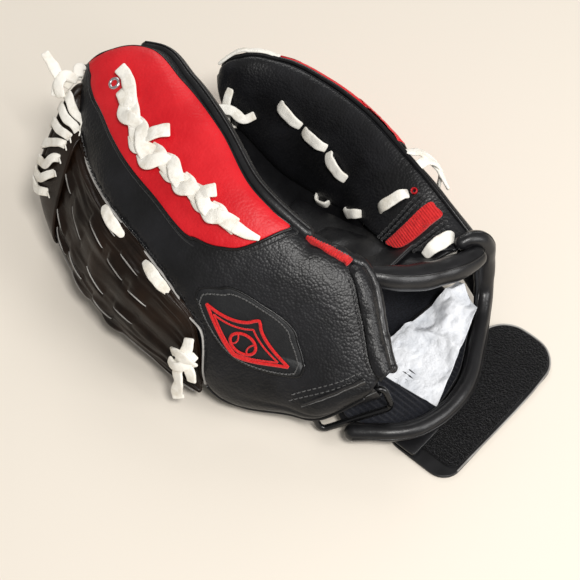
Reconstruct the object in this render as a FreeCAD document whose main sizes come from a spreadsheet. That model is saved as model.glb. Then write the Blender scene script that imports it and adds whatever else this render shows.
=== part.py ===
"""Child's baseball glove for the left hand, lying folded on its back, modelled as an assembly.

Frame: millimetres, +Z up, the surface it lies on is Z = 0, +Y runs from the wrist to the fingertips
and +X from the thumb side to the little-finger side.  The thumb and the little finger stand up on
either side of the pocket, the other three fingers lie on the surface, and the hand goes in at -Y.

Every leather panel of a finger stall is a thin shell between two guides, its seams.  A guide is a
few (x, z) positions at stations along Y, kept in the spreadsheet.  Flat pieces are sketched and
padded.  Rolls and laces are round tubes along straight runs joined by tangent arcs.
"""
import FreeCAD, Part
import os
from math import acos, cos, pi, sin, tan

from FreeCAD import Placement, Rotation, Vector

DOC = FreeCAD.newDocument("baseball_glove")
SHEET = DOC.addObject("Spreadsheet::Sheet", "dimensions")

# Single driving dimensions, in millimetres or degrees.
SINGLE = {
    "origin_x": 5.1,           # every piece is shifted by this, to centre the glove over the origin
    "origin_y": 1.5,
    "leather": 2.4,
    "seam_gap": 0.4,
    "layer_gap": 0.4,
    "stall_power": 2.5,
    "stiffener": 1.4,
    "palm_pad": 3.0,
    "lining": 1.2,
    "thumb_roll_radius": 3.5,
    "binding_radius": 3.9,
    "heel_roll_radius": 4.7,
    "web_weave": 1.5,
    "panel_level": 0.0,
    "cuff_level": 6.0,
    "cuff_thickness": 2.0,
    "label_thickness": 0.6,
    "badge_length": 66.0,
    "badge_width": 40.0,
    "badge_thickness": 1.0,
    "strap_left": -33.0,
    "strap_right": 57.0,
    "strap_front": -123.0,
    "strap_rear": -86.0,
    "strap_bend": 10.0,
    "strap_leather": 1.6,
    "strap_pile": 1.4,
    "strap_margin": 1.3,
    "strap_bare": 7.5,
    "strap_slit": 0.6,
    "strap_corner": 15.0,
    "sewn_rear": -88.0,
    "sewn_front": -104.0,
    "sewn_right": -14.0,
    "sewn_level": 3.4,
    "loop_length": 35.0,
    "loop_depth": 12.0,
    "loop_bar_radius": 1.4,
    "tab_width": 26.0,
    "tab_bore_radius": 2.0,
    "tab_outer_radius": 3.6,
    "eyelet_outer": 3.2,
    "eyelet_inner": 1.6,
    "eyelet_height": 1.0,
    "lace_radius": 1.9,
    "web_lace_radius": 1.7,
}

# Stations along Y of the guides, from the wrist end to the fingertip.
THUMB_Y = [-78, -66, -50, -20, 10, 40, 70, 95, 110, 117]
THUMB_PALM_Y = [8, 40, 70, 95, 110, 117]
INDEX_Y = [-10, 30, 60, 95, 112, 119]
MIDDLE_Y = [-10, 30, 60, 95, 112, 120]
RING_Y = [-10, 30, 60, 85, 99, 106]
PINKY_Y = [-64, -38, -10, 12, 40, 66, 82, 89]
PINKY_PALM_Y = [-38, -10, 12, 40, 66, 82, 89]
WEB_Y = [14, 30, 60, 92, 108, 115]
PALM_Y = [-50, -36, -16, 3]

# The positions and bulges of the guides at those stations.
LISTED = {
    "thumb_free_x": [-21, -13, -2, -9, -10, 1, 10, 14, 4, -5],
    "thumb_free_z": [36, 44, 57, 70, 80, 86, 90, 91, 88, 84],
    "thumb_root_x": [-33, -50, -57, -71, -67, -60, -52, -38, -26, -16],
    "thumb_root_z": [28, 16, 10, 10, 34, 48, 56, 60, 66, 75],
    "thumb_bulge": [4, 8, 12, 13, 12, 12, 12, 11, 8, 4],
    "thumb_palm_bulge": [10, 12, 12, 11, 8, 4],
    "index_left_x": [-67, -72, -68, -58, -49, -44],
    "index_left_z": [9.2, 9.6, 12, 19, 26, 27],
    "index_right_x": [-37, -39, -37, -31, -28, -33],
    "index_right_z": [9.2, 9.6, 10, 13, 17, 21],
    "index_bulge": [8.6, 9, 9, 9, 7, 4],
    "middle_left_x": [-36, -38, -36, -30, -27, -21],
    "middle_left_z": [9.2, 9.6, 10, 13, 16, 18],
    "middle_right_x": [-4, -5, -4, 1, 3, -3],
    "middle_right_z": [9.2, 9.6, 10, 13, 16, 18],
    "middle_bulge": [8.6, 9, 9, 9, 7, 4],
    "ring_left_x": [-3, -4, -3, 2, 6, 13],
    "ring_left_z": [9.2, 9.6, 10, 12, 15, 18],
    "ring_right_x": [28, 30, 31, 34, 35, 31],
    "ring_right_z": [9.2, 9.6, 13, 18, 23, 25],
    "ring_bulge": [8.6, 9, 9, 9, 7, 4],
    "pinky_free_x": [57, 61, 66, 70, 71, 67, 58, 52],
    "pinky_free_z": [42, 52, 59, 62, 64, 64, 63, 58],
    "pinky_root_x": [59, 57, 48, 42, 42, 43, 43, 46],
    "pinky_root_z": [10, 10, 12, 14, 17, 26, 36, 48],
    "pinky_bulge": [6, 8, 9, 9, 9, 9, 7, 4],
    "pinky_palm_x": [45, 44, 42, 42, 43, 43, 46],
    "pinky_palm_z": [43, 30, 21, 18, 26, 36, 48],
    "pinky_palm_bulge": [4, 6, 8, 9, 9, 7, 4],
    "web_top_x": [-66, -62.5, -55, -40, -27.5, -20],
    "web_top_z": [34, 42, 52, 58.5, 64, 71],
    "web_low_x": [-76.5, -76, -73.5, -64, -56, -50],
    "web_low_z": [13, 13, 15, 23, 31, 34],
    "web_bulge": [5, 7, 8, 8, 7, 6],
    "palm_left_x": [19, 14, 3, -24],
    "palm_left_z": [46, 38, 29, 24],
    "palm_right_x": [48, 40, 34, 31],
    "palm_right_z": [43, 39, 28, 21],
    "palm_wall_top_x": [5, 1, -3, -5],
    "palm_wall_top_z": [54, 59, 65, 69],
    "palm_wall_low_x": [13, 8, -8, -36],
    "palm_wall_low_z": [49, 44, 42, 46],
}
NUMBERED = {f"{name}_{i + 1}": v for name, values in LISTED.items() for i, v in enumerate(values)}

for row, (alias, value) in enumerate({**SINGLE, **NUMBERED}.items(), start=1):
    SHEET.set(f"A{row}", alias)
    SHEET.set(f"B{row}", str(value))
    SHEET.setAlias(f"B{row}", alias)
DOC.recompute()


def dim(alias):
    """A single dimension, read from the sheet."""
    return float(SHEET.get(alias))


def listed(name):
    """A guide's values, read from the sheet."""
    return [dim(f"{name}_{i + 1}") for i in range(len(LISTED[name]))]


def guide(name):
    """A guide's (x, z) pairs."""
    return list(zip(listed(name + "_x"), listed(name + "_z")))


LEATHER = dim("leather")
SEAM_GAP = dim("seam_gap")
LAYER_GAP = dim("layer_gap")
ORIGIN = Placement(Vector(dim("origin_x"), dim("origin_y"), 0), Rotation())
NODES = []


# ------------------------------------------------------------------ soft panels between two guides
def arc(a, b, depth, side, inset, start=0.0, end=1.0, count=9):
    """Points of half a superellipse from seam a to seam b in the X-Z plane, bulging to one side.

    inset moves the whole arc inwards, and start and end pick part of it, as shares of the half turn.
    """
    chord = Vector(b[0] - a[0], 0, b[1] - a[1])
    along = Vector(chord).normalize()
    out = Vector(-along.z, 0, along.x) * side
    centre = Vector((a[0] + b[0]) / 2, 0, (a[1] + b[1]) / 2)
    half = chord.Length / 2 - inset
    power = 2 / dim("stall_power")
    points = []
    for k in range(count):
        angle = pi * (1 - start - (end - start) * k / (count - 1))
        across = abs(cos(angle)) ** power * (1 if cos(angle) > 0 else -1)
        rise = abs(sin(angle)) ** power
        points.append(centre + along * (half * across) + out * ((depth - inset) * rise + SEAM_GAP / 2))
    return points


def section(outer, inner, station, slant=0.0):
    """A closed wire of an outer and an inner row of points, in an upright plane at the station."""
    rows = [[Vector(p.x, station + slant * p.x, p.z) for p in row] for row in (outer, inner[::-1])]
    edges = []
    for points, following in zip(rows, rows[::-1]):
        curve = Part.BSplineCurve()
        curve.interpolate(points)
        edges.append(curve.toShape())
        edges.append(Part.makeLine(points[-1], following[0]))
    return Part.Wire(edges)


def shell(stations, a, b, depths, side, inset=SEAM_GAP, thickness=LEATHER, start=0.0, end=1.0):
    """A thin curved panel from seam a to seam b."""
    wires = []
    for y, left, right, depth in zip(stations, a, b, depths):
        outer = arc(left, right, depth, side, inset, start, end)
        inner = arc(left, right, depth, side, inset + thickness, start, end)
        wires.append(section(outer, inner, y))
    return Part.makeLoft(wires, True, True)


def slab(stations, a, b, depth, thickness, slants):
    """A thin straight panel from guide a to guide b, its upper face moved down by depth."""
    wires = []
    for y, left, right, slant in zip(stations, a, b, slants):
        across = Vector(right[0] - left[0], 0, right[1] - left[1])
        down = Vector(across.z, 0, -across.x).normalize()
        start = Vector(left[0], 0, left[1])
        rows = []
        for drop in (depth, depth + thickness):
            rows.append([start + across * (k / 4) + down * drop for k in range(5)])
        wires.append(section(rows[0], rows[1], y, slant))
    return Part.makeLoft(wires, True, True)


# ------------------------------------------------------------------------------- rolls and laces
def route_wire(points):
    """Straight runs between the points, joined by tangent arcs as large as the runs allow."""
    corners = [Vector(*p) for p in points]
    edges = []
    last = corners[0]
    for before, corner, after in zip(corners, corners[1:], corners[2:]):
        back = (before - corner)
        forth = (after - corner)
        reach = 0.45 * min(back.Length, forth.Length)
        back.normalize()
        forth.normalize()
        half_turn = (pi - acos(max(-1, min(1, back.dot(forth))))) / 2
        entry = corner + back * reach
        leave = corner + forth * reach
        radius = reach / tan(half_turn)
        middle = (back + forth).normalize()
        crown = corner + middle * (radius / cos(half_turn) - radius)
        edges.append(Part.LineSegment(last, entry).toShape())
        edges.append(Part.Arc(entry, crown, leave).toShape())
        last = leave
    edges.append(Part.LineSegment(last, corners[-1]).toShape())
    return Part.Wire(edges)


def tube(points, radius):
    """A round tube along a route."""
    wire = route_wire(points)
    direction = Vector(*points[1]) - Vector(*points[0])
    profile = Part.Wire(Part.makeCircle(radius, Vector(*points[0]), direction))
    return wire.makePipeShell([profile], True, False)


def guide_points(name, stations, first=None, last=None):
    """A guide as a route of points, cut to a stretch of Y."""
    low = stations[0] if first is None else first
    high = stations[-1] if last is None else last
    inner = [y for y in stations if low < y < high]
    return [at_station(name, stations, y) for y in [low, *inner, high]]


def at_station(name, stations, y):
    """A guide's point at any station, by straight interpolation."""
    pairs = guide(name)
    k = max(i for i in range(len(stations) - 1) if stations[i] <= y)
    share = (y - stations[k]) / (stations[k + 1] - stations[k])
    x = pairs[k][0] + (pairs[k + 1][0] - pairs[k][0]) * share
    z = pairs[k][1] + (pairs[k + 1][1] - pairs[k][1]) * share
    return (x, y, z)


# Outer faces that trim lies on: the guides of their two seams, each with its stations, and the bulge
# with the first seam's stations.
SURFACES = {
    "thumb": ("thumb_root", THUMB_Y, "thumb_free", THUMB_Y, "thumb_bulge"),
    "web": ("web_low", WEB_Y, "web_top", WEB_Y, "web_bulge"),
    "pinky_palm": ("pinky_palm", PINKY_PALM_Y, "pinky_free", PINKY_Y, "pinky_palm_bulge"),
}


def on_surface(surface, y, share, lift):
    """A point on a stall's outer face, at a station and a share of its arc, lifted off it."""
    first, first_y, second, second_y, bulge = SURFACES[surface]
    a = at_station(first, first_y, y)
    b = at_station(second, second_y, y)
    k = max(i for i in range(len(first_y) - 1) if first_y[i] <= y)
    part = (y - first_y[k]) / (first_y[k + 1] - first_y[k])
    bulges = listed(bulge)
    depth = bulges[k] + (bulges[k + 1] - bulges[k]) * part
    p = arc((a[0], a[2]), (b[0], b[2]), depth, 1, SEAM_GAP - lift, share, 1.0, 2)[0]
    return (p.x, y, p.z)


# ------------------------------------------------------------------------------------ the document
def feature(label, shape):
    """Keeps a shape as a sub-part of the document."""
    solids = shape.Solids
    if len(solids) == 1:
        shape = solids[0]
    made = DOC.addObject("Part::Feature", label)
    made.Label = label
    made.Shape = shape
    made.Placement = ORIGIN * shape.Placement
    NODES.append(made)
    return made


def block(label, cells, corner=None):
    """A flat piece: a Part::Box bound to cells, with rounded ends where corner gives its edges.

    cells holds the expressions of the low and high X, the low and high Y, the level and the height.
    """
    low_x, high_x, low_y, high_y, level, height = cells
    box = DOC.addObject("Part::Box", label + "_block" if corner else label)
    box.setExpression("Length", f"({high_x}) - ({low_x})")
    box.setExpression("Width", f"({high_y}) - ({low_y})")
    box.setExpression("Height", height)
    box.setExpression("Placement.Base.x", f"{low_x} + dimensions.origin_x")
    box.setExpression("Placement.Base.y", f"{low_y} + dimensions.origin_y")
    box.setExpression("Placement.Base.z", level)
    DOC.recompute()
    made = box
    if corner:
        radius, at_high_end = corner
        end = box.Shape.BoundBox.XMax if at_high_end else box.Shape.BoundBox.XMin
        made = DOC.addObject("Part::Fillet", label)
        made.Base = box
        upright = []
        for number, edge in enumerate(box.Shape.Edges, start=1):
            bounds = edge.BoundBox
            if bounds.ZLength > 0.1 and abs(bounds.XMin - end) < 0.01 and bounds.XLength < 0.01 \
                    and bounds.YLength < 0.01:
                upright.append((number, radius, radius))
        made.Edges = upright
    made.Label = label
    NODES.append(made)
    return made


def raised_outline(points, level, thickness):
    """A flat shape with straight sides, raised to a level."""
    corners = [Vector(x, y, level) for x, y in points]
    face = Part.Face(Part.makePolygon(corners + corners[:1]))
    return face.extrude(Vector(0, 0, thickness))


# ---------------------------------------------------------------------------------- finger stalls
def finger_stalls():
    """The back and palm panels of the three stalls that lie on the surface."""
    for name, stations in (("index", INDEX_Y), ("middle", MIDDLE_Y), ("ring", RING_Y)):
        seams = guide(name + "_left"), guide(name + "_right"), listed(name + "_bulge")
        feature(name + "_back", shell(stations, *seams, -1))
        feature(name + "_palm", shell(stations, *seams, 1))


def thumb_stall():
    """The thumb's panels, its stiffener, the padded roll and the red trim on it."""
    root, free, bulge = guide("thumb_root"), guide("thumb_free"), listed("thumb_bulge")
    roll_share = 0.9
    feature("thumb_back", shell(THUMB_Y, root, free, bulge, 1, end=roll_share))
    first = len(THUMB_Y) - len(THUMB_PALM_Y)
    palm_root = [at_station("thumb_root", THUMB_Y, y)[::2] for y in THUMB_PALM_Y]
    palm_free = [at_station("thumb_free", THUMB_Y, y)[::2] for y in THUMB_PALM_Y]
    palm_bulge = listed("thumb_palm_bulge")
    feature("thumb_palm", shell(THUMB_PALM_Y, palm_root, palm_free, palm_bulge, -1, end=roll_share))

    stiffener_inset = SEAM_GAP + LEATHER + LAYER_GAP
    inner = slice(first, len(THUMB_Y) - 2)
    stiffener = shell(THUMB_Y[inner], root[inner], free[inner], bulge[inner], 1, stiffener_inset,
                      dim("stiffener"), 0.15, 0.8)
    feature("thumb_stiffener", stiffener)

    radius = dim("thumb_roll_radius")
    feature("thumb_roll", tube(guide_points("thumb_free", THUMB_Y, -18, 101), radius))
    feature("thumb_flex_insert", tube(guide_points("thumb_free", THUMB_Y, -42, -19), radius - 0.4))
    feature("thumb_binding", tube([(2, -54, 58), (-7, -66, 50), (-17, -80, 38)], 3.0))

    trim_inset = SEAM_GAP - 1.0
    red = slice(first, len(THUMB_Y) - 1)
    panel = shell(THUMB_Y[red], root[red], free[red], bulge[red], 1, trim_inset, 0.7, 0.46, 0.84)
    feature("thumb_red_panel", panel)


def thumb_trim():
    """The oval badge, the eyelet and the braided lace on the thumb's back."""
    wing = slice(1, 6)
    skin = shell(THUMB_Y[wing], guide("thumb_root")[wing], guide("thumb_free")[wing],
                 listed("thumb_bulge")[wing], 1, SEAM_GAP - dim("badge_thickness") - 0.3,
                 dim("badge_thickness"), 0.2, 0.8)
    centre = Vector(*on_surface("thumb", -21, 0.49, 0))
    normal = Vector(-0.66, -0.37, 0.69)
    oval = Part.Ellipse(Vector(), dim("badge_length") / 2, dim("badge_width") / 2)
    prism = Part.Face(Part.Wire(oval.toShape())).extrude(Vector(0, 0, 40))
    prism.translate(Vector(0, 0, -20))
    lengthwise = Vector(-0.14, 0.92, 0.36)
    crosswise = normal.cross(lengthwise)
    prism.Placement = Placement(centre, Rotation(lengthwise, crosswise, normal, "ZXY"))
    feature("badge", skin.common(prism))

    ring = Part.makeCylinder(dim("eyelet_outer"), dim("eyelet_height"))
    ring = ring.cut(Part.makeCylinder(dim("eyelet_inner"), dim("eyelet_height")))
    ring.Placement = Placement(Vector(*on_surface("thumb", 96, 0.56, 2.2)),
                               Rotation(Vector(0, 0, 1), Vector(-0.45, 0, 0.9)))
    feature("thumb_eyelet", ring)

    stops = [(88, 0.62), (79, 0.53), (69, 0.51), (59, 0.50), (48, 0.53), (32, 0.55), (19, 0.60),
             (9, 0.64), (-1, 0.68)]
    lace = [on_surface("thumb", y, share, dim("lace_radius") + 2.0) for y, share in stops]
    feature("thumb_lace", tube(lace, dim("lace_radius")))


def web():
    """The web panel, its laces and the knot at the crotch."""
    low, top, bulge = guide("web_low"), guide("web_top"), listed("web_bulge")
    feature("web_panel", shell(WEB_Y, low, top, bulge, 1, start=0.03, end=0.97))
    feature("web_weave", shell(WEB_Y[1:4], low[1:4], top[1:4], bulge[1:4], 1,
                               SEAM_GAP - dim("web_weave") - 0.3, dim("web_weave"), 0.3, 0.75))

    radius = dim("web_lace_radius")
    turns = []
    for k in range(7):
        share = 0.1 + 0.1 * k
        foot = on_surface("web", 114.4, share, radius + 1.0)
        turns.append(tube([foot, on_surface("web", 109, share + 0.02, radius + 1.8),
                           on_surface("web", 101, share + 0.05, radius + 0.8)], radius))
    feature("web_top_lace", Part.makeCompound(turns))

    loops = []
    for y in (26, 56):
        loops.append(tube([on_surface("web", y - 7, 0.84, radius + 0.8),
                           on_surface("web", y, 0.86, radius + 2.0),
                           on_surface("web", y + 7, 0.88, radius + 0.8)], radius))
    feature("web_loops", Part.makeCompound(loops))

    knot = [(-77.5, 3, 31), (-81.5, -3, 27), (-82, -9, 20), (-80.5, -14, 12), (-81, -18, 6)]
    feature("crotch_knot", tube(knot, radius + 0.3))


# ------------------------------------------------------------------------------ palm and hand space
def palm():
    """The palm leather with its felt pad and lining, the wall up to the thumb and the heel roll."""
    left, right = guide("palm_left"), guide("palm_right")
    slants = (-0.25, -0.12, 0, 0)
    pad_depth = LEATHER + LAYER_GAP
    lining_depth = pad_depth + dim("palm_pad") + LAYER_GAP
    feature("palm_centre", slab(PALM_Y, left, right, 0, LEATHER, slants))
    feature("palm_pad", slab(PALM_Y[:3], left, right, pad_depth, dim("palm_pad"), slants))
    feature("palm_lining", slab(PALM_Y[:3], left, right, lining_depth, dim("lining"), slants))
    wall = slab(PALM_Y, guide("palm_wall_top"), guide("palm_wall_low"), 0, LEATHER, slants)
    feature("palm_thumb_wall", wall)
    heel = [(7, -57, 52.5), (20, -62.5, 48.5), (33, -67, 45.5), (45, -70.5, 43.5)]
    feature("heel_roll", tube(heel, dim("heel_roll_radius")))


def back_of_hand():
    """The back panel, the cuff with its padded binding and the cloth inside them."""
    level = dim("panel_level")
    panel = [(-58, -14), (44, -14), (50, -40), (50, -60), (-34, -60), (-46, -45)]
    feature("back_panel", raised_outline(panel, level, LEATHER))
    lining = [(x * 0.94, y - 1) for x, y in panel]
    feature("back_lining", raised_outline(lining, level + LEATHER + LAYER_GAP, dim("lining")))

    cuff_level = dim("cuff_level")
    cuff = [(-31, -60.8), (50, -60.8), (52, -70), (36, -81), (14, -92), (-9, -96), (-24, -84), (-30, -72)]
    feature("cuff", raised_outline(cuff, cuff_level, dim("cuff_thickness")))
    cloth_level = cuff_level + dim("cuff_thickness") + LAYER_GAP
    cloth = [(x * 0.94, y + 1) for x, y in cuff]
    feature("cuff_cloth", raised_outline([(x, min(y, -62)) for x, y in cloth], cloth_level, dim("lining")))
    label_level = cloth_level + dim("lining") + LAYER_GAP
    label = [(-8, -70), (44, -66), (44, -74), (14, -88), (-6, -90)]
    feature("liner_sheet", raised_outline(label, label_level, dim("label_thickness")))

    route = [(-37, -86, 10.6), (-33, -91.5, 10.6), (-26, -97, 10.5), (-10, -102, 10.3), (8, -101, 10.3),
             (28, -92, 10.3), (46, -82, 10.8), (58, -74, 12)]
    feature("wrist_binding", tube(route, dim("binding_radius")))


# -------------------------------------------------------------------------------- little finger
def little_finger():
    """The little finger's panels, stiffener, laces, eyelet, red insert and wrist roll."""
    root, free, bulge = guide("pinky_root"), guide("pinky_free"), listed("pinky_bulge")
    feature("pinky_back", shell(PINKY_Y, root, free, bulge, -1))
    first = len(PINKY_Y) - len(PINKY_PALM_Y)
    palm_root, palm_bulge = guide("pinky_palm"), listed("pinky_palm_bulge")
    feature("pinky_palm", shell(PINKY_PALM_Y, palm_root, free[first:], palm_bulge, 1))

    inner = slice(3, len(PINKY_Y) - 2)
    inset = SEAM_GAP + LEATHER + LAYER_GAP
    feature("pinky_stiffener", shell(PINKY_Y[inner], root[inner], free[inner], bulge[inner], -1,
                                     inset, dim("stiffener"), 0.15, 0.85))
    red = slice(2, len(PINKY_Y) - 1)
    feature("pinky_red_panel", shell(PINKY_Y[red], root[red], free[red], bulge[red], -1,
                                     SEAM_GAP - 1.0, 0.7, 0.3, 0.9))

    radius = dim("web_lace_radius")
    lift = radius + 0.8

    def stitch(start, end):
        middle = tuple((a + b) / 2 for a, b in zip(start, end))
        points = [on_surface("pinky_palm", *start, lift - 0.4),
                  on_surface("pinky_palm", *middle, lift + 0.6),
                  on_surface("pinky_palm", *end, lift - 0.4)]
        return tube(points, radius)

    row = [stitch((52, 0.55), (41, 0.53)), stitch((36, 0.52), (23, 0.50)), stitch((18, 0.50), (6, 0.44))]
    feature("pinky_lace", Part.makeCompound(row))
    feature("pinky_tip_lace", stitch((81, 0.50), (70, 0.24)))
    feature("pinky_heel_lace", Part.makeCompound([stitch((-5, 0.2), (-13, 0.26)),
                                                  stitch((-17, 0.32), (-25, 0.56))]))
    feature("pinky_flex_insert", shell([-37, -29], [(44, 42.6), (43.8, 38.8)], [(61.2, 52.2), (62.7, 54.2)],
                                       [4.2, 4.8], 1, SEAM_GAP - 1.1, 0.8, 0.15, 0.75))
    ring = Part.makeCylinder(dim("eyelet_outer"), dim("eyelet_height"))
    ring = ring.cut(Part.makeCylinder(dim("eyelet_inner"), dim("eyelet_height")))
    ring.Placement = Placement(Vector(*on_surface("pinky_palm", -22, 0.72, 2.4)),
                               Rotation(Vector(0, 0, 1), Vector(-0.7, 0, 0.7)))
    feature("pinky_eyelet", ring)
    roll = [(60, -70.5, 22), (60.5, -69.5, 32), (57, -69, 41)]
    feature("pinky_binding", tube(roll, dim("binding_radius") - 0.6))


# ------------------------------------------------------------------------------ strap and its loop
def strap():
    """The strap: a sewn end under the cuff, a free part that folds at its left, and its tip."""
    thickness = "dimensions.strap_leather"
    block("strap_sewn_end", ("dimensions.strap_left + 0.6", "dimensions.sewn_right", "dimensions.sewn_front",
                             "dimensions.sewn_rear", "dimensions.sewn_level", thickness))
    bend_low = "dimensions.strap_bend - dimensions.strap_slit"
    bend_high = "dimensions.strap_bend + dimensions.strap_slit"
    front, rear = "dimensions.strap_front", "dimensions.strap_rear"
    block("strap", ("dimensions.strap_left + 0.6", bend_low, front, rear, "0 mm", thickness))
    block("strap_tip", (bend_high, "dimensions.strap_right", front, rear, "0 mm", thickness),
          (dim("strap_corner"), True))
    margin = "dimensions.strap_margin"
    pile = (f"{front} + {margin}", f"{rear} - {margin}", thickness, "dimensions.strap_pile")
    block("strap_pile", ("dimensions.strap_left + dimensions.strap_bare", bend_low, *pile))
    block("strap_hook", (bend_high, f"dimensions.strap_right - {margin}", *pile),
          (dim("strap_corner") - 1, True))


def loop_and_tab():
    """The rectangular loop and the leather tab that it swings in."""
    bar = Vector(0.70, -0.60, 0.38).normalize()
    hang = Vector(0.0, -0.53, -0.85)
    hang = (hang - bar * hang.dot(bar)).normalize()
    centre = Vector(-37.5, -68, 19.5)
    radius = dim("loop_bar_radius")
    half, depth = dim("loop_length") / 2, dim("loop_depth")
    corners = [centre - bar * half, centre + bar * half,
               centre + bar * half + hang * depth, centre - bar * half + hang * depth]
    solid = None
    for start, end in zip(corners, corners[1:] + corners[:1]):
        side = Part.makeCylinder(radius, (end - start).Length, start, end - start)
        ball = Part.makeSphere(radius, start)
        side = side.fuse(ball)
        solid = side if solid is None else solid.fuse(side)
    feature("loop", solid.removeSplitter())

    width = dim("tab_width")
    start = centre - bar * (width / 2)
    tab = Part.makeCylinder(dim("tab_outer_radius"), width, start, bar)
    tab = tab.cut(Part.makeCylinder(dim("tab_bore_radius"), width, start, bar))
    feature("loop_tab", tab)


finger_stalls()
thumb_stall()
thumb_trim()
web()
palm()
back_of_hand()
little_finger()
strap()
loop_and_tab()
DOC.recompute()

for item in DOC.Objects:
    if "Invalid" in item.State or "Error" in item.State:
        raise RuntimeError(f"{item.Label} failed: {item.State}")
for node in NODES:
    if node.Shape.isNull() or not node.Shape.isValid():
        raise RuntimeError(f"{node.Label} has no valid shape")
    for solid in node.Shape.Solids:
        if solid.Volume <= 0:
            raise RuntimeError(f"{node.Label} has a solid turned inside out")

os.makedirs("parts", exist_ok=True)
for node in NODES:
    node.Shape.exportStep(f"parts/{node.Label}.step")
    print(f"{node.Label}: {node.Shape.Volume:.0f} cubic mm, {len(node.Shape.Solids)} solid(s)")
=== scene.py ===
"""Looks of the child's baseball glove that lies folded on its back.

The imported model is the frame.  Every panel is a curved sheet between two seams, as in the CAD: a
seam is a few (x, z) positions at stations along Y, in millimetres of the glove's own drawing,
which the frame holds shifted by ORIGIN.  mm() turns such points into the frame's metres.
"""
import bpy
from math import cos, pi, radians, sin

import numpy as np
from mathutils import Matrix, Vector, noise


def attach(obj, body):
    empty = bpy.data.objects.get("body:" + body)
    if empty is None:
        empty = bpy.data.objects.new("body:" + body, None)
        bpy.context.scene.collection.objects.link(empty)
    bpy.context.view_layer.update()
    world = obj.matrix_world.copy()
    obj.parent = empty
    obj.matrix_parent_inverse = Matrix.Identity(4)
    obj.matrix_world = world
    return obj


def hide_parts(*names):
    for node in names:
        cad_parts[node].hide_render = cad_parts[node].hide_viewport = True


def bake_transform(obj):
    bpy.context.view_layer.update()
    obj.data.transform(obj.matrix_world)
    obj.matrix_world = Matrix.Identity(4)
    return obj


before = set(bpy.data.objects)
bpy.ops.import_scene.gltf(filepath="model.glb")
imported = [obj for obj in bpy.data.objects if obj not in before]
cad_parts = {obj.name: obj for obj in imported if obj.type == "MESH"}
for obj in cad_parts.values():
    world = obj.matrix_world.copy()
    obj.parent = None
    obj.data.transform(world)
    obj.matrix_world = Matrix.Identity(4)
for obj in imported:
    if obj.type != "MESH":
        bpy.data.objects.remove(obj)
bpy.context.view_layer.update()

MM = 0.001
ORIGIN = np.array([5.1, 1.5, 0.0])      # where the drawing's zero lies in the frame, in millimetres


def mm(points):
    """Points of the drawing, in millimetres, as points of the frame, in metres."""
    return (np.asarray(points, float) + ORIGIN) * MM


# ================================================================================ camera and light
SPAN = 0.286                            # what the picture is across at the target
DISTANCE = 0.65
AZIMUTH, ELEVATION = radians(-48), radians(55)
SENSOR = 36.0

camera_data = bpy.data.cameras.new("camera")
camera = bpy.data.objects.new("camera", camera_data)
bpy.context.scene.collection.objects.link(camera)
back = Vector((sin(AZIMUTH) * cos(ELEVATION), -cos(AZIMUTH) * cos(ELEVATION), sin(ELEVATION)))
camera.location = Vector(mm((0, 0, 0))) + back * DISTANCE
camera.rotation_euler = back.to_track_quat("Z", "Y").to_euler()
camera_data.sensor_width = SENSOR
camera_data.lens = SENSOR * DISTANCE / SPAN
camera_data.clip_start = 0.01
bpy.context.scene.camera = camera


def area_light(name, location, size, power, colour):
    """A soft square lamp that looks at the glove."""
    data = bpy.data.lights.new(name, "AREA")
    data.size = size
    data.energy = power
    data.color = colour
    lamp = bpy.data.objects.new(name, data)
    lamp.location = location
    lamp.rotation_euler = Vector(location).to_track_quat("Z", "Y").to_euler()
    bpy.context.scene.collection.objects.link(lamp)


area_light("key", (-0.30, -0.66, 1.30), 0.30, 13.5, (1.0, 0.98, 0.95))
area_light("fill", (0.22, -0.80, 0.55), 0.45, 4.6, (1.0, 0.99, 0.98))
area_light("rim", (0.75, 0.75, 0.85), 0.5, 3.5, (1.0, 0.99, 0.97))
bpy.context.scene.view_settings.view_transform = "Standard"
world = bpy.data.worlds.new("studio")
world.use_nodes = True
world.node_tree.nodes["Background"].inputs["Color"].default_value = (0.95, 0.93, 0.90, 1)
world.node_tree.nodes["Background"].inputs["Strength"].default_value = 0.33
bpy.context.scene.world = world


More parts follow.
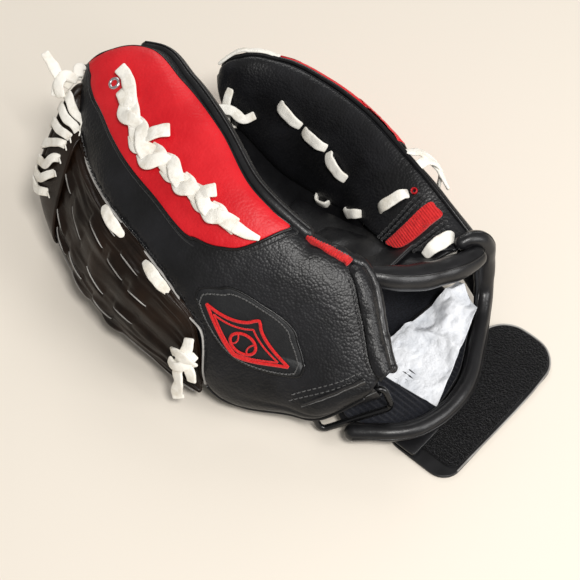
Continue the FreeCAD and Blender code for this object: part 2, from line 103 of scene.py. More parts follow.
# ======================================================================================= materials
class Nodes:
    """A material's node tree with its shader, built by short calls."""

    def __init__(self, name, colour, roughness, specular=0.5, **sockets):
        self.material = bpy.data.materials.new(name)
        self.material.use_nodes = True
        self.tree = self.material.node_tree
        self.shader = self.tree.nodes["Principled BSDF"]
        self.shader.inputs["Base Color"].default_value = (*colour, 1)
        self.shader.inputs["Roughness"].default_value = roughness
        self.shader.inputs["Specular IOR Level"].default_value = specular
        for socket, value in sockets.items():
            self.shader.inputs[socket.replace("_", " ")].default_value = value
        self.place = self.add("ShaderNodeTexCoord").outputs["Object"]
        self.height = None

    def add(self, kind, **values):
        node = self.tree.nodes.new(kind)
        for name, value in values.items():
            setattr(node, name, value)
        return node

    def link(self, output, socket):
        self.tree.links.new(output, socket)

    def stretched(self, scale):
        """The object's coordinates, scaled by a different factor along each axis."""
        node = self.add("ShaderNodeMapping")
        node.inputs["Scale"].default_value = scale
        self.link(self.place, node.inputs["Vector"])
        return node.outputs["Vector"]

    def noise(self, scale, detail=3.0, roughness=0.5, place=None):
        node = self.add("ShaderNodeTexNoise")
        node.inputs["Scale"].default_value = scale
        node.inputs["Detail"].default_value = detail
        node.inputs["Roughness"].default_value = roughness
        self.link(place or self.place, node.inputs["Vector"])
        return node.outputs["Fac"]

    def cells(self, scale):
        node = self.add("ShaderNodeTexVoronoi")
        node.inputs["Scale"].default_value = scale
        self.link(self.place, node.inputs["Vector"])
        return node.outputs["Distance"]

    def ramp(self, value, *stops):
        node = self.add("ShaderNodeValToRGB")
        elements = node.color_ramp.elements
        while len(elements) < len(stops):
            elements.new(0.5)
        for element, (position, colour) in zip(elements, stops):
            element.position = position
            element.color = (*colour, 1)
        self.link(value, node.inputs["Fac"])
        return node.outputs["Color"]

    def reach(self, value, low, high):
        """A value from 0..1 brought to low..high."""
        node = self.add("ShaderNodeMapRange")
        node.inputs["To Min"].default_value = low
        node.inputs["To Max"].default_value = high
        self.link(value, node.inputs["Value"])
        return node.outputs["Result"]

    def bump(self, value, distance, strength=1.0):
        """Adds relief of a height, in metres, over what is there already."""
        node = self.add("ShaderNodeBump")
        node.inputs["Strength"].default_value = strength
        node.inputs["Distance"].default_value = distance
        self.link(value, node.inputs["Height"])
        if self.height is not None:
            self.link(self.height, node.inputs["Normal"])
        self.height = node.outputs["Normal"]
        self.link(self.height, self.shader.inputs["Normal"])

    def colour(self, output):
        self.link(output, self.shader.inputs["Base Color"])

    def roughness(self, output):
        self.link(output, self.shader.inputs["Roughness"])


PEBBLES_PER_METRE = 820.0              # the scale of the leather's grain


def pebbled(name, dark, light, roughness, relief=0.00013):
    """Imitation leather with a printed pebble grain: soft round cells with narrow valleys."""
    nodes = Nodes(name, dark, roughness, 0.36)
    nodes.bump(nodes.ramp(nodes.cells(PEBBLES_PER_METRE), (0.25, (1, 1, 1)), (0.95, (0, 0, 0))), relief, 0.8)
    nodes.bump(nodes.noise(120, 3, 0.6), 0.0004, 0.8)
    nodes.colour(nodes.ramp(nodes.noise(45, 4, 0.6), (0.35, dark), (0.7, light)))
    nodes.roughness(nodes.reach(nodes.noise(160, 3), roughness - 0.05, roughness + 0.08))
    return nodes.material


def smooth_leather(name, dark, light, roughness, specular=0.4):
    """Smooth imitation leather with faint creases along it."""
    nodes = Nodes(name, dark, roughness, specular)
    nodes.bump(nodes.noise(900, 4, 0.6), 0.00008)
    nodes.bump(nodes.noise(110, 3, place=nodes.stretched((1.0, 0.35, 1.0))), 0.0003)
    nodes.colour(nodes.ramp(nodes.noise(60, 4, 0.6), (0.35, dark), (0.75, light)))
    nodes.roughness(nodes.reach(nodes.noise(220, 4), roughness - 0.08, roughness + 0.12))
    return nodes.material


def rawhide(name, clean, worn):
    """White lace leather: a fibrous face with soiled patches."""
    nodes = Nodes(name, clean, 0.62, 0.3)
    nodes.bump(nodes.noise(1500, 4, 0.7), 0.00012)
    nodes.bump(nodes.noise(260, 3), 0.0005)
    nodes.colour(nodes.ramp(nodes.noise(120, 5, 0.65), (0.3, worn), (0.52, clean)))
    return nodes.material


def cloth(name, dark, light):
    """Fine matt cloth or thread."""
    nodes = Nodes(name, dark, 0.9, 0.15, Sheen_Weight=0.35)
    nodes.bump(nodes.noise(2200, 2), 0.00018)
    nodes.colour(nodes.ramp(nodes.noise(1400, 2), (0.35, dark), (0.68, light)))
    return nodes.material


def pile(name, dark, light):
    """Hook-and-loop tape: a dense matt fuzz in which single fibres catch the light."""
    nodes = Nodes(name, dark, 0.95, 0.1, Sheen_Weight=0.12)
    nodes.bump(nodes.noise(1900, 3, 0.7), 0.0007)
    nodes.bump(nodes.cells(900), 0.0004)
    nodes.colour(nodes.ramp(nodes.noise(2300, 2, 0.7), (0.56, dark), (0.80, light)))
    return nodes.material


def elastic(name, dark, light):
    """The face of ribbed elastic; the ribs themselves are in the mesh."""
    nodes = Nodes(name, dark, 0.75, 0.2, Sheen_Weight=0.25)
    nodes.bump(nodes.noise(1800, 2), 0.0001)
    nodes.colour(nodes.ramp(nodes.noise(500, 3), (0.3, dark), (0.7, light)))
    return nodes.material


def paper_cloth(name):
    """The thin white sheet in the opening, crinkled, with darker blue-grey patches at random."""
    nodes = Nodes(name, (0.8, 0.82, 0.86), 0.7, 0.3)
    nodes.bump(nodes.noise(140, 5, 0.6), 0.0016)
    nodes.bump(nodes.noise(1200, 2), 0.0001)
    nodes.colour(nodes.ramp(nodes.noise(70, 5, 0.6), (0.3, (0.55, 0.58, 0.63)), (0.55, (0.83, 0.85, 0.89))))
    return nodes.material


def metal(name, colour, roughness):
    """Plated metal with fine scuffs."""
    nodes = Nodes(name, colour, roughness, 0.5, Metallic=1.0)
    nodes.bump(nodes.noise(1500, 3), 0.00003)
    nodes.roughness(nodes.reach(nodes.noise(700, 3), roughness - 0.08, roughness + 0.15))
    return nodes.material


def plastic(name, colour, roughness):
    """Moulded plastic with a faint orange-peel face."""
    nodes = Nodes(name, colour, roughness, 0.5)
    nodes.bump(nodes.noise(600, 3), 0.00006)
    nodes.roughness(nodes.reach(nodes.noise(400, 3), roughness - 0.06, roughness + 0.12))
    return nodes.material


BLACK = pebbled("black pebbled leather", (0.0042, 0.0043, 0.0050), (0.0120, 0.0122, 0.0145), 0.36)
RED = pebbled("red pebbled leather", (0.58, 0.005, 0.012), (0.72, 0.014, 0.022), 0.44, relief=0.00008)
SMOOTH = smooth_leather("smooth black leather", (0.005, 0.005, 0.0058), (0.014, 0.014, 0.0155), 0.30)
GLOSSY = smooth_leather("glossy web leather", (0.006, 0.0032, 0.0018), (0.020, 0.0105, 0.006), 0.34, 0.22)
PATCH = smooth_leather("patch leather", (0.0045, 0.005, 0.006), (0.011, 0.012, 0.014), 0.45)
PIPING = smooth_leather("piping", (0.002, 0.002, 0.0025), (0.007, 0.007, 0.008), 0.30)
EDGE = smooth_leather("raw grey edge", (0.22, 0.21, 0.20), (0.46, 0.45, 0.43), 0.55)
LACE = rawhide("white lace", (0.90, 0.875, 0.81), (0.72, 0.67, 0.57))
THREAD = cloth("black thread", (0.008, 0.008, 0.009), (0.028, 0.028, 0.030))
GREY_THREAD = cloth("grey thread", (0.05, 0.05, 0.05), (0.13, 0.13, 0.13))
RED_THREAD = cloth("red thread", (0.50, 0.008, 0.01), (0.70, 0.022, 0.022))
RIBBED = cloth("ribbed lining", (0.003, 0.0035, 0.006), (0.012, 0.0135, 0.020))
LINING = smooth_leather("dark lining", (0.004, 0.004, 0.005), (0.012, 0.012, 0.013), 0.34)
PILE = pile("strap pile", (0.0010, 0.0010, 0.0014), (0.050, 0.050, 0.062))
ELASTIC = elastic("red ribbed elastic", (0.42, 0.008, 0.010), (0.66, 0.022, 0.022))
SHEET = paper_cloth("white crinkled sheet")
FELT = cloth("wool felt", (0.50, 0.48, 0.44), (0.62, 0.60, 0.55))
CHROME = metal("eyelet metal", (0.62, 0.63, 0.66), 0.28)
LACQUER = plastic("red lacquered metal", (0.45, 0.006, 0.012), 0.3)
LOOP = plastic("black loop plastic", (0.004, 0.004, 0.0045), 0.24)
BOARD = plastic("grey board", (0.12, 0.12, 0.12), 0.55)
FLOOR = Nodes("floor", (0.80, 0.74, 0.655), 0.85, 0.2).material


# ================================================================================= curves and frames
def smooth(stations, values, at):
    """Values given at stations, read between them from a smooth curve through all of them."""
    x, v = np.asarray(stations, float), np.asarray(values, float)
    at = np.clip(np.asarray(at, float), x[0], x[-1])
    slope = np.gradient(v, x, axis=0)
    k = np.clip(np.searchsorted(x, at) - 1, 0, len(x) - 2)
    step = x[k + 1] - x[k]
    t = (at - x[k]) / step
    for _ in range(v.ndim - 1):
        t, step = t[..., None], step[..., None]
    return ((2 * t**3 - 3 * t**2 + 1) * v[k] + (t**3 - 2 * t**2 + t) * step * slope[k]
            + (3 * t**2 - 2 * t**3) * v[k + 1] + (t**3 - t**2) * step * slope[k + 1])


def curve(points, spacing):
    """A smooth line through points, as evenly spaced points."""
    points = np.asarray(points, float)
    along = np.concatenate([[0], np.cumsum(np.linalg.norm(np.diff(points, axis=0), axis=1))])
    count = max(3, int(along[-1] / spacing) + 1)
    return smooth(along, points, np.linspace(0, along[-1], count))


def ring(points, count):
    """A smooth closed line through points, without its last point repeated."""
    points = np.asarray(points, float)
    wrapped = np.concatenate([points[-2:], points, points[:3]])
    along = np.concatenate([[0], np.cumsum(np.linalg.norm(np.diff(wrapped, axis=0), axis=1))])
    first, last = along[2], along[2 + len(points)]
    return smooth(along, wrapped, np.linspace(first, last, count, endpoint=False))


def unit(vectors):
    """Vectors made one long."""
    vectors = np.asarray(vectors, float)
    return vectors / np.maximum(np.linalg.norm(vectors, axis=-1, keepdims=True), 1e-9)


class Panel:
    """The outer face of a sheet between two seams a and b, bulging to one side of them.

    share runs from 0 at seam a to 1 at seam b.
    """

    def __init__(self, a, b, bulge, side=1):
        self.a, self.b, self.bulge, self.side = a, b, bulge, side

    def at(self, y, share, lift=0.0):
        y, share, lift = np.broadcast_arrays(np.asarray(y, float), share, lift)
        a, b, depth = smooth(*self.a, y), smooth(*self.b, y), smooth(*self.bulge, y)
        chord = b - a
        length = np.linalg.norm(chord, axis=-1)
        along = chord / length[..., None]
        out = np.stack([-along[..., 1], along[..., 0]], axis=-1) * self.side
        angle = pi * (1 - share)
        across = np.abs(np.cos(angle)) ** 0.8 * np.sign(np.cos(angle))
        rise = np.abs(np.sin(angle)) ** 0.8
        place = ((a + b) / 2 + along * ((length / 2 - 0.4 + lift) * across)[..., None]
                 + out * ((depth - 0.4 + lift) * rise + 0.2)[..., None])
        return np.stack([place[..., 0], y, place[..., 1]], axis=-1)

    def normal(self, y, share):
        y, share = np.broadcast_arrays(np.asarray(y, float), np.clip(share, 0.02, 0.98))
        along = self.at(y + 0.5, share) - self.at(y - 0.5, share)
        across = self.at(y, share + 0.01) - self.at(y, share - 0.01)
        found = unit(np.cross(along, across))
        outward = self.at(y, share, 1.0) - self.at(y, share)
        return found * np.where((found * outward).sum(-1) < 0, -1, 1)[..., None]

    def raised(self, y, share, lift):
        """A point lifted off the face along its normal."""
        y, share, lift = np.broadcast_arrays(np.asarray(y, float), share, lift)
        return self.at(y, share) + self.normal(y, share) * lift[..., None]


class Slab:
    """The upper face of a straight sheet between two seams."""

    def __init__(self, a, b, slants):
        self.a, self.b, self.slants = a, b, slants

    def at(self, y, share, lift=0.0):
        y, share, lift = np.broadcast_arrays(np.asarray(y, float), share, lift)
        a, b = smooth(*self.a, y), smooth(*self.b, y)
        place = a + (b - a) * share[..., None]
        down = unit(np.stack([(b - a)[..., 1], -(b - a)[..., 0]], axis=-1))
        place = place - down * lift[..., None]
        slant = smooth(self.a[0], self.slants, y)
        return np.stack([place[..., 0], y + slant * place[..., 0], place[..., 1]], axis=-1)


def rough(points, scale, height, seed=0.0):
    """Smooth random heights at points."""
    flat = np.asarray(points, float).reshape(-1, 3)
    heights = [noise.noise(Vector((p * scale + seed).tolist())) for p in flat]
    return np.array(heights).reshape(np.asarray(points).shape[:-1]) * height


# ======================================================================================= mesh making
def made(name, vertices, faces, material, body, node=(), slot=None, sharp=55):
    """A piece from points in millimetres of the drawing, riding on a body when body is a name; any other body
    leaves it fixed where it is drawn.
    """
    mesh = bpy.data.meshes.new(name)
    mesh.from_pydata(mm(vertices).tolist(), [], [tuple(int(i) for i in f) for f in faces])
    mesh.validate()
    mesh.update()
    mesh.shade_smooth()
    if sharp:
        mesh.set_sharp_from_angle(angle=radians(sharp))
    piece = bpy.data.objects.new(name, mesh)
    bpy.context.scene.collection.objects.link(piece)
    mesh.materials.append(material)
    if isinstance(body, str):
        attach(piece, body)
    else:
        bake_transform(piece)
    if node:
        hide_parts(*([node] if isinstance(node, str) else node))
    return piece


def joined(parts):
    """Several (vertices, faces) as one."""
    vertices, faces, first = [], [], 0
    for points, loops in parts:
        vertices.append(np.asarray(points, float))
        faces.extend([tuple(i + first for i in loop) for loop in loops])
        first += len(points)
    return np.concatenate(vertices), faces


def thick(grid, thickness, normals=None, up=None, rim=5):
    """(vertices, faces) of a sheet with a rounded rim, whose outer face is a grid of points."""
    grid = np.asarray(grid, float)
    rows, columns = grid.shape[:2]
    if normals is None:
        normals = unit(np.cross(np.gradient(grid, axis=0), np.gradient(grid, axis=1)))
        if (normals * np.asarray(up, float)).sum() < 0:
            normals = -normals
    border = ([(0, j) for j in range(columns)] + [(i, columns - 1) for i in range(1, rows)]
              + [(rows - 1, j) for j in range(columns - 2, -1, -1)] + [(i, 0) for i in range(rows - 2, 0, -1)])
    bi, bj = np.array(border).T
    inner = grid[np.clip(bi, 1, rows - 2), np.clip(bj, 1, columns - 2)]
    edge, up_here = grid[bi, bj], normals[bi, bj]
    outward = edge - inner
    outward = unit(outward - (outward * up_here).sum(-1, keepdims=True) * up_here)
    radius = thickness / 2
    base = edge - outward * radius
    turns = [base + outward * radius * sin(pi * k / rim) - up_here * radius * (1 - cos(pi * k / rim))
             for k in range(rim + 1)]
    top, bottom = grid.copy(), grid - normals * thickness
    top[bi, bj] = turns[0]
    bottom[bi, bj] = turns[-1]
    vertices = [top.reshape(-1, 3), bottom.reshape(-1, 3), *turns[1:-1]]
    count, around = rows * columns, len(border)
    index = np.arange(count).reshape(rows, columns)
    faces = []
    for i in range(rows - 1):
        for j in range(columns - 1):
            a, b, c, d = index[i, j], index[i, j + 1], index[i + 1, j + 1], index[i + 1, j]
            faces.append((a, b, c, d))
            faces.append((d + count, c + count, b + count, a + count))
    loops = [index[bi, bj]] + [2 * count + around * k + np.arange(around) for k in range(rim - 1)]
    loops.append(index[bi, bj] + count)
    for first, second in zip(loops, loops[1:]):
        for k in range(around):
            n = (k + 1) % around
            faces.append((first[k], second[k], second[n], first[n]))
    flipped = np.cross(grid[1, 0] - grid[0, 0], grid[0, 1] - grid[0, 0]) @ normals[0, 0] > 0
    if flipped:
        faces = [f[::-1] for f in faces]
    return np.concatenate(vertices), faces


def sweep(path, width, height=None, up=None, sides=12, square=1.0):
    """(vertices, faces) of a rounded bar along a path, its ends domed.

    width and height are half sizes, one for all or one for each point, and up is the way its height
    faces.  square below 1 makes its section more like a rectangle.
    """
    path = np.asarray(path, float)
    count = len(path)
    tangent = unit(np.gradient(path, axis=0))
    if up is None:
        guess = np.array([0.0, 0.0, 1.0]) if abs(tangent[0, 2]) < 0.9 else np.array([1.0, 0.0, 0.0])
        tops = [unit(guess - tangent[0] * (guess @ tangent[0]))]
        for t in tangent[1:]:
            tops.append(unit(tops[-1] - t * (tops[-1] @ t)))
        up = np.array(tops)
    else:
        up = np.broadcast_to(np.asarray(up, float), (count, 3))
        up = unit(up - tangent * (up * tangent).sum(-1, keepdims=True))
    side = np.cross(tangent, up)
    wide = np.broadcast_to(np.asarray(width, float), (count,))
    high = wide if height is None else np.broadcast_to(np.asarray(height, float), (count,))
    angles = 2 * pi * np.arange(sides) / sides
    cos_part = np.abs(np.cos(angles)) ** square * np.sign(np.cos(angles))
    sin_part = np.abs(np.sin(angles)) ** square * np.sign(np.sin(angles))

    def circle(i, shrink, advance):
        centre = path[i] + tangent[i] * advance
        return (centre + np.outer(cos_part, side[i]) * (wide[i] - high[i] * (1 - shrink))
                + np.outer(sin_part, up[i]) * high[i] * shrink)

    domes = [(radians(a)) for a in (25, 50, 72)]
    circles = [circle(0, cos(a), -high[0] * sin(a)) for a in domes[::-1]]
    circles += [circle(i, 1.0, 0.0) for i in range(count)]
    circles += [circle(-1, cos(a), high[-1] * sin(a)) for a in domes]
    vertices = np.concatenate([*circles, [path[0] - tangent[0] * high[0]], [path[-1] + tangent[-1] * high[-1]]])
    total = len(circles)
    faces = []
    for i in range(total - 1):
        for k in range(sides):
            n = (k + 1) % sides
            faces.append((i * sides + k, i * sides + n, (i + 1) * sides + n, (i + 1) * sides + k))
    start, end = total * sides, total * sides + 1
    for k in range(sides):
        n = (k + 1) % sides
        faces.append((start, n, k))
        faces.append((end, (total - 1) * sides + k, (total - 1) * sides + n))
    return vertices, faces


def loop_bar(path, radius, sides=8):
    """(vertices, faces) of a round bar along a closed path."""
    path = np.asarray(path, float)
    tangent = unit(np.roll(path, -1, axis=0) - np.roll(path, 1, axis=0))
    up = np.cross(tangent, [0.35, 0.21, 0.91])
    up = unit(up)
    side = np.cross(tangent, up)
    angles = 2 * pi * np.arange(sides) / sides
    count = len(path)
    vertices = (path[:, None] + radius * (np.cos(angles)[None, :, None] * side[:, None]
                                          + np.sin(angles)[None, :, None] * up[:, None]))
    faces = []
    for i in range(count):
        m = (i + 1) % count
        for k in range(sides):
            n = (k + 1) % sides
            faces.append((i * sides + k, m * sides + k, m * sides + n, i * sides + n))
    return vertices.reshape(-1, 3), faces


def stitches(path, up, pitch=3.2, length=2.1, radius=0.34):
    """(vertices, faces) of a row of stitches that lies on a path."""
    path = np.asarray(path, float)
    up = np.broadcast_to(np.asarray(up, float), path.shape)
    along = np.concatenate([[0], np.cumsum(np.linalg.norm(np.diff(path, axis=0), axis=1))])
    parts = []
    for start in np.arange(0.4, along[-1] - length, pitch):
        where = start + np.linspace(0, length, 5)
        points = np.stack([np.interp(where, along, path[:, k]) for k in range(3)], axis=-1)
        tops = unit(np.stack([np.interp(where, along, up[:, k]) for k in range(3)], axis=-1))
        arch = np.array([-0.25, 0.12, 0.22, 0.12, -0.25])
        parts.append(sweep(points + tops * arch[:, None], radius * 1.15, radius * 0.85, tops, 6))
    return joined(parts)


PATCH_DIP = 0.8                         # how far a patch goes into its panel


def patch(panel, outline, lift, edge=0.5, rings=16, around=150, crown=0.0):
    """(vertices, faces) of an inlay on a panel: a closed outline of (y, share), with rounded edges."""
    line = ring(outline, around)
    centre = line.mean(axis=0)
    vertices = [panel.raised(centre[0], centre[1], lift + crown)[None]]
    for r in np.linspace(0, 1, rings)[1:]:
        spot = centre + (line - centre) * r
        vertices.append(panel.raised(spot[:, 0], spot[:, 1], lift + crown * (1 - r**2)))
    outer = vertices[-1]
    away = unit(outer - vertices[-2])
    up = panel.normal(line[:, 0], line[:, 1])
    for a in (30, 60, 90):
        vertices.append(outer + away * edge * sin(radians(a)) - up * edge * (1 - cos(radians(a))))
    vertices.append(outer + away * edge - up * (lift + PATCH_DIP))
    faces = []
    for k in range(around):
        faces.append((0, 1 + k, 1 + (k + 1) % around))
    for i in range(len(vertices) - 2):
        first = 1 + i * around
        for k in range(around):
            n = (k + 1) % around
            faces.append((first + k, first + around + k, first + around + n, first + n))
    tail = 1 + (len(vertices) - 2) * around
    below = panel.raised(centre[0], centre[1], -PATCH_DIP)[None]
    last = sum(len(v) for v in vertices)
    for k in range(around):
        faces.append((last, tail + (k + 1) % around, tail + k))
    return np.concatenate([*vertices, below]), faces


FLAT_CORNER = 6                         # the radius of a flat patch's corners, in mm


def flat_patch(outline, level, thickness, puff=0.0, rings=14, around=160, wave=None):
    """(vertices, faces) of a flat closed sheet with a rounded rim, its top pushed up by puff."""
    line = ring(rounded(outline, FLAT_CORNER), around)
    centre = line.mean(axis=0)
    half = thickness / 2
    top, bottom = [], []
    for r in np.linspace(0, 1, rings)[1:]:
        spot = centre + (line - centre) * r
        height = np.full(around, puff * (1 - r**4))
        if wave is not None and r < 0.999:
            height = height + wave(spot)
        top.append(np.column_stack([spot, level + thickness + height]))
        bottom.append(np.column_stack([spot, np.full(around, level)]))
    peak = puff + (wave(centre[None])[0] if wave is not None else 0.0)
    away = unit(line - centre)
    turns = [np.column_stack([line + away * half * sin(pi * k / 6),
                              np.full(around, level + thickness - half * (1 - cos(pi * k / 6)))])
             for k in range(1, 6)]
    loops = [*top, *turns, *bottom[::-1]]
    vertices = [np.array([[*centre, level + thickness + peak]]), *loops, np.array([[*centre, level]])]
    faces = [(0, 1 + k, 1 + (k + 1) % around) for k in range(around)]
    for i in range(len(loops) - 1):
        first = 1 + i * around
        for k in range(around):
            n = (k + 1) % around
            faces.append((first + k, first + around + k, first + around + n, first + n))
    last = 1 + len(loops) * around
    for k in range(around):
        faces.append((last, last - around + (k + 1) % around, last - around + k))
    return np.concatenate(vertices), faces


def rounded(points, radius, steps=4):
    """A polygon's plan points with its corners cut round."""
    points = np.asarray(points, float)
    result = []
    for before, corner, after in zip(np.roll(points, 1, axis=0), points, np.roll(points, -1, axis=0)):
        back, forth = before - corner, after - corner
        reach = min(radius, 0.45 * np.linalg.norm(back), 0.45 * np.linalg.norm(forth))
        start, end = corner + unit(back) * reach, corner + unit(forth) * reach
        for k in range(steps + 1):
            t = k / steps
            result.append((1 - t) ** 2 * start + 2 * t * (1 - t) * corner + t**2 * end)
    return np.array(result)


def twist(ups, path, angles):
    """Up directions turned about the path by angles in degrees."""
    tangent = unit(np.gradient(np.asarray(path, float), axis=0))
    ups = unit(np.asarray(ups, float))
    a = np.radians(np.broadcast_to(angles, (len(path),)))[:, None]
    return ups * np.cos(a) + np.cross(tangent, ups) * np.sin(a)


def thong(points, width, ups, turn=0.0, thickness=1.3, spacing=0.7, wobble=0.0, seed=0.0):
    """(vertices, faces) of a flat lace along a few points.  ups are its face directions at them."""
    points = np.asarray(points, float)
    path = curve(points, spacing)
    share = np.linspace(0, 1, len(path))
    knots = np.linspace(0, 1, len(points))
    ups = np.broadcast_to(np.asarray(ups, float), points.shape)
    faced = np.stack([np.interp(share, knots, ups[:, k]) for k in range(3)], axis=-1)
    turn = np.interp(share, np.linspace(0, 1, np.size(turn)) if np.size(turn) > 1 else [0, 1],
                     turn if np.size(turn) > 1 else [turn, turn])
    faced = twist(faced, path, turn)
    wide = np.interp(share, np.linspace(0, 1, np.size(width)) if np.size(width) > 1 else [0, 1],
                     width if np.size(width) > 1 else [width, width])
    wide = wide * (1 + rough(path, 0.25, 0.12, seed))
    if wobble:
        path = path + faced * rough(path, 0.3, wobble, seed + 5)[:, None]
    return sweep(path, wide / 2, thickness / 2, faced, 14, 0.55)


def scaled(stations, xs, zs):
    """A seam as (stations, (x, z) pairs)."""
    return stations, np.column_stack([xs, zs])


# ============================================================================ seams of the drawing
THUMB_Y = [-78, -66, -50, -20, 10, 40, 70, 95, 110, 117, 119.6]
THUMB_FREE = scaled(THUMB_Y, [-21, -13, -2, -9, -10, 1, 10, 14, 4, -5, -9.5],
                    [36, 44, 57, 70, 80, 86, 90, 91, 88, 84, 80.2])
THUMB_ROOT = scaled(THUMB_Y, [-33, -50, -57, -71, -67, -60, -52, -38, -26, -16, -11.5],
                    [28, 16, 10, 10, 34, 48, 56, 60, 66, 75, 78.8])
THUMB = Panel(THUMB_ROOT, THUMB_FREE, (THUMB_Y, [4, 8, 12, 13, 12, 12, 12, 11, 8, 4, 1.5]), 1)
THUMB_INSIDE = Panel(THUMB_ROOT, THUMB_FREE, (THUMB_Y, [4, 8, 10, 10, 10, 12, 12, 11, 8, 4, 1.5]), -1)

INDEX_Y = [-10, 30, 60, 95, 112, 119, 121]
MIDDLE_Y = [-10, 30, 60, 95, 112, 120, 122]
RING_Y = [-10, 30, 60, 85, 99, 106, 108]
SPREAD = [8.6, 9, 9, 9, 7, 4, 1.2]
STALLS = {
    "index": (INDEX_Y, [-67, -72, -68, -58, -49, -44, -41.5], [9.2, 9.6, 12, 19, 26, 27, 25.5],
              [-37, -39, -37, -31, -28, -33, -37.5], [9.2, 9.6, 10, 13, 17, 21, 23.5]),
    "middle": (MIDDLE_Y, [-36, -38, -36, -30, -27, -21, -16], [9.2, 9.6, 10, 13, 16, 18, 18.6],
               [-4, -5, -4, 1, 3, -3, -8], [9.2, 9.6, 10, 13, 16, 18, 18.6]),
    "ring": (RING_Y, [-3, -4, -3, 2, 6, 13, 18], [9.2, 9.6, 10, 12, 15, 18, 20.5],
             [28, 30, 31, 34, 35, 31, 26], [9.2, 9.6, 13, 18, 23, 25, 23.5]),
}

PINKY_Y = [-64, -38, -10, 12, 40, 66, 82, 89, 90.8]
PINKY_FREE = scaled(PINKY_Y, [57, 61, 66, 70, 71, 67, 58, 52, 50.2], [42, 52, 59, 62, 64, 64, 63, 58, 54.6])
PINKY_ROOT = scaled(PINKY_Y, [59, 57, 48, 42, 42, 43, 43, 46, 48], [10, 10, 12, 14, 17, 26, 36, 48, 52.2])
SEAM_Y = [-64, -52, -38, -24, -10, 12, 40, 66, 82, 89, 90.8]
PINKY_SEAM = scaled(SEAM_Y, [45, 34, 30, 33, 38, 41, 42, 43, 43, 46, 48],
                    [44.2, 42.8, 38.8, 34, 29, 21, 18, 26, 36, 48, 52.2])
PINKY_BACK = Panel(PINKY_ROOT, PINKY_FREE, (PINKY_Y, [6, 8, 9, 9, 9, 9, 7, 4, 1.4]), -1)
PINKY_PALM = Panel(PINKY_SEAM, PINKY_FREE,
                   (SEAM_Y, [1.2, 1.5, 2, 3, 5, 7.5, 9, 9, 7, 4, 1.4]), 1)

# Where the thumb's welt runs on its back, as a share of the arc; the web's leather ends at it.
WELT = ([-78, -24, -15, -10, 4, 17, 34, 47, 67, 90, 108, 115, 119.6],
        [0.02, 0.03, 0.09, 0.27, 0.315, 0.305, 0.26, 0.225, 0.19, 0.14, 0.15, 0.19, 0.30])
WEB_Y = [-14, 0, 14, 30, 60, 92, 108, 115, 117]
WEB_EDGE = THUMB.at(np.array(WEB_Y), smooth(*WELT, WEB_Y), -1.2)
WEB_TOP = scaled(WEB_Y, WEB_EDGE[:, 0], WEB_EDGE[:, 2])
WEB_LOW = scaled(WEB_Y, [-75.5, -77, -76.5, -76, -73.5, -64, -56, -51, -49],
                 [11, 11.5, 13, 13, 15, 23, 30, 35, 37])
WEB = Panel(WEB_LOW, WEB_TOP, (WEB_Y, [2, 4, 6, 8, 8, 6, 6.5, 7, 7]), 1)

PALM_Y = [-50, -36, -16, 3]
SLANTS = [-0.25, -0.12, 0, 0]
PALM = Slab(scaled(PALM_Y, [19, 14, 3, -24], [46, 38, 29, 24]),
            scaled(PALM_Y, [48, 40, 34, 31], [43, 39, 28, 21]), SLANTS)
WALL = Slab(scaled(PALM_Y, [5, 1, -3, -5], [54, 59, 65, 69]),
            scaled(PALM_Y, [13, 8, -8, -36], [49, 44, 42, 46]), SLANTS)


def grid_of(panel, low, high, start, end, rows, columns, relief=None):
    """Points and normals of a panel's face over a stretch of Y and share."""
    y = np.linspace(low, high, rows)[:, None] * np.ones((1, columns))
    share = (0.5 - 0.5 * np.cos(np.linspace(0, pi, columns)) * 0.999)[None] * np.ones((rows, 1))
    share = start + (end - start) * share
    normal = panel.normal(y, share)
    lift = np.zeros_like(y) if relief is None else relief(y, share)
    return panel.at(y, share) + normal * lift[..., None], normal


def bell(value, centre, width):
    """A smooth hump one high."""
    return np.exp(-(((value - centre) / width) ** 2))


# ========================================================================================== floor
def floor():
    size, level = 4.0, -0.0002
    mesh = bpy.data.meshes.new("floor")
    mesh.from_pydata([(-size, -size, level), (size, -size, level), (size, size, level), (-size, size, level)],
                     [], [(0, 1, 2, 3)])
    mesh.materials.append(FLOOR)
    ground = bpy.data.objects.new("floor", mesh)
    bpy.context.scene.collection.objects.link(ground)


# ==================================================================================== thumb's back
RED_OUTLINE = [(118, 0.72), (116, 0.60), (110, 0.50), (104, 0.46), (88, 0.43), (72, 0.43), (56, 0.44),
               (44, 0.455), (32, 0.47), (19, 0.50), (6, 0.56), (-3, 0.65), (-9, 0.78), (-12, 0.885),
               (-4, 0.905), (10, 0.90), (37, 0.90), (60, 0.87), (73, 0.85), (90, 0.84), (104, 0.86),
               (112, 0.85), (116.5, 0.80)]


def badge_spot(long, wide):
    """(y, share) on the thumb of a place on the patch, given as -1 to 1 along it and across it."""
    return -22.8 + 26.0 * long - 1.6 * wide, 0.438 + 0.012 * long + 0.078 * wide - 0.023 * (long**2 - wide**2)


BADGE_OUTLINE = [badge_spot(cos(t), sin(t)) for t in np.linspace(0, 2 * pi, 33)[:-1]]


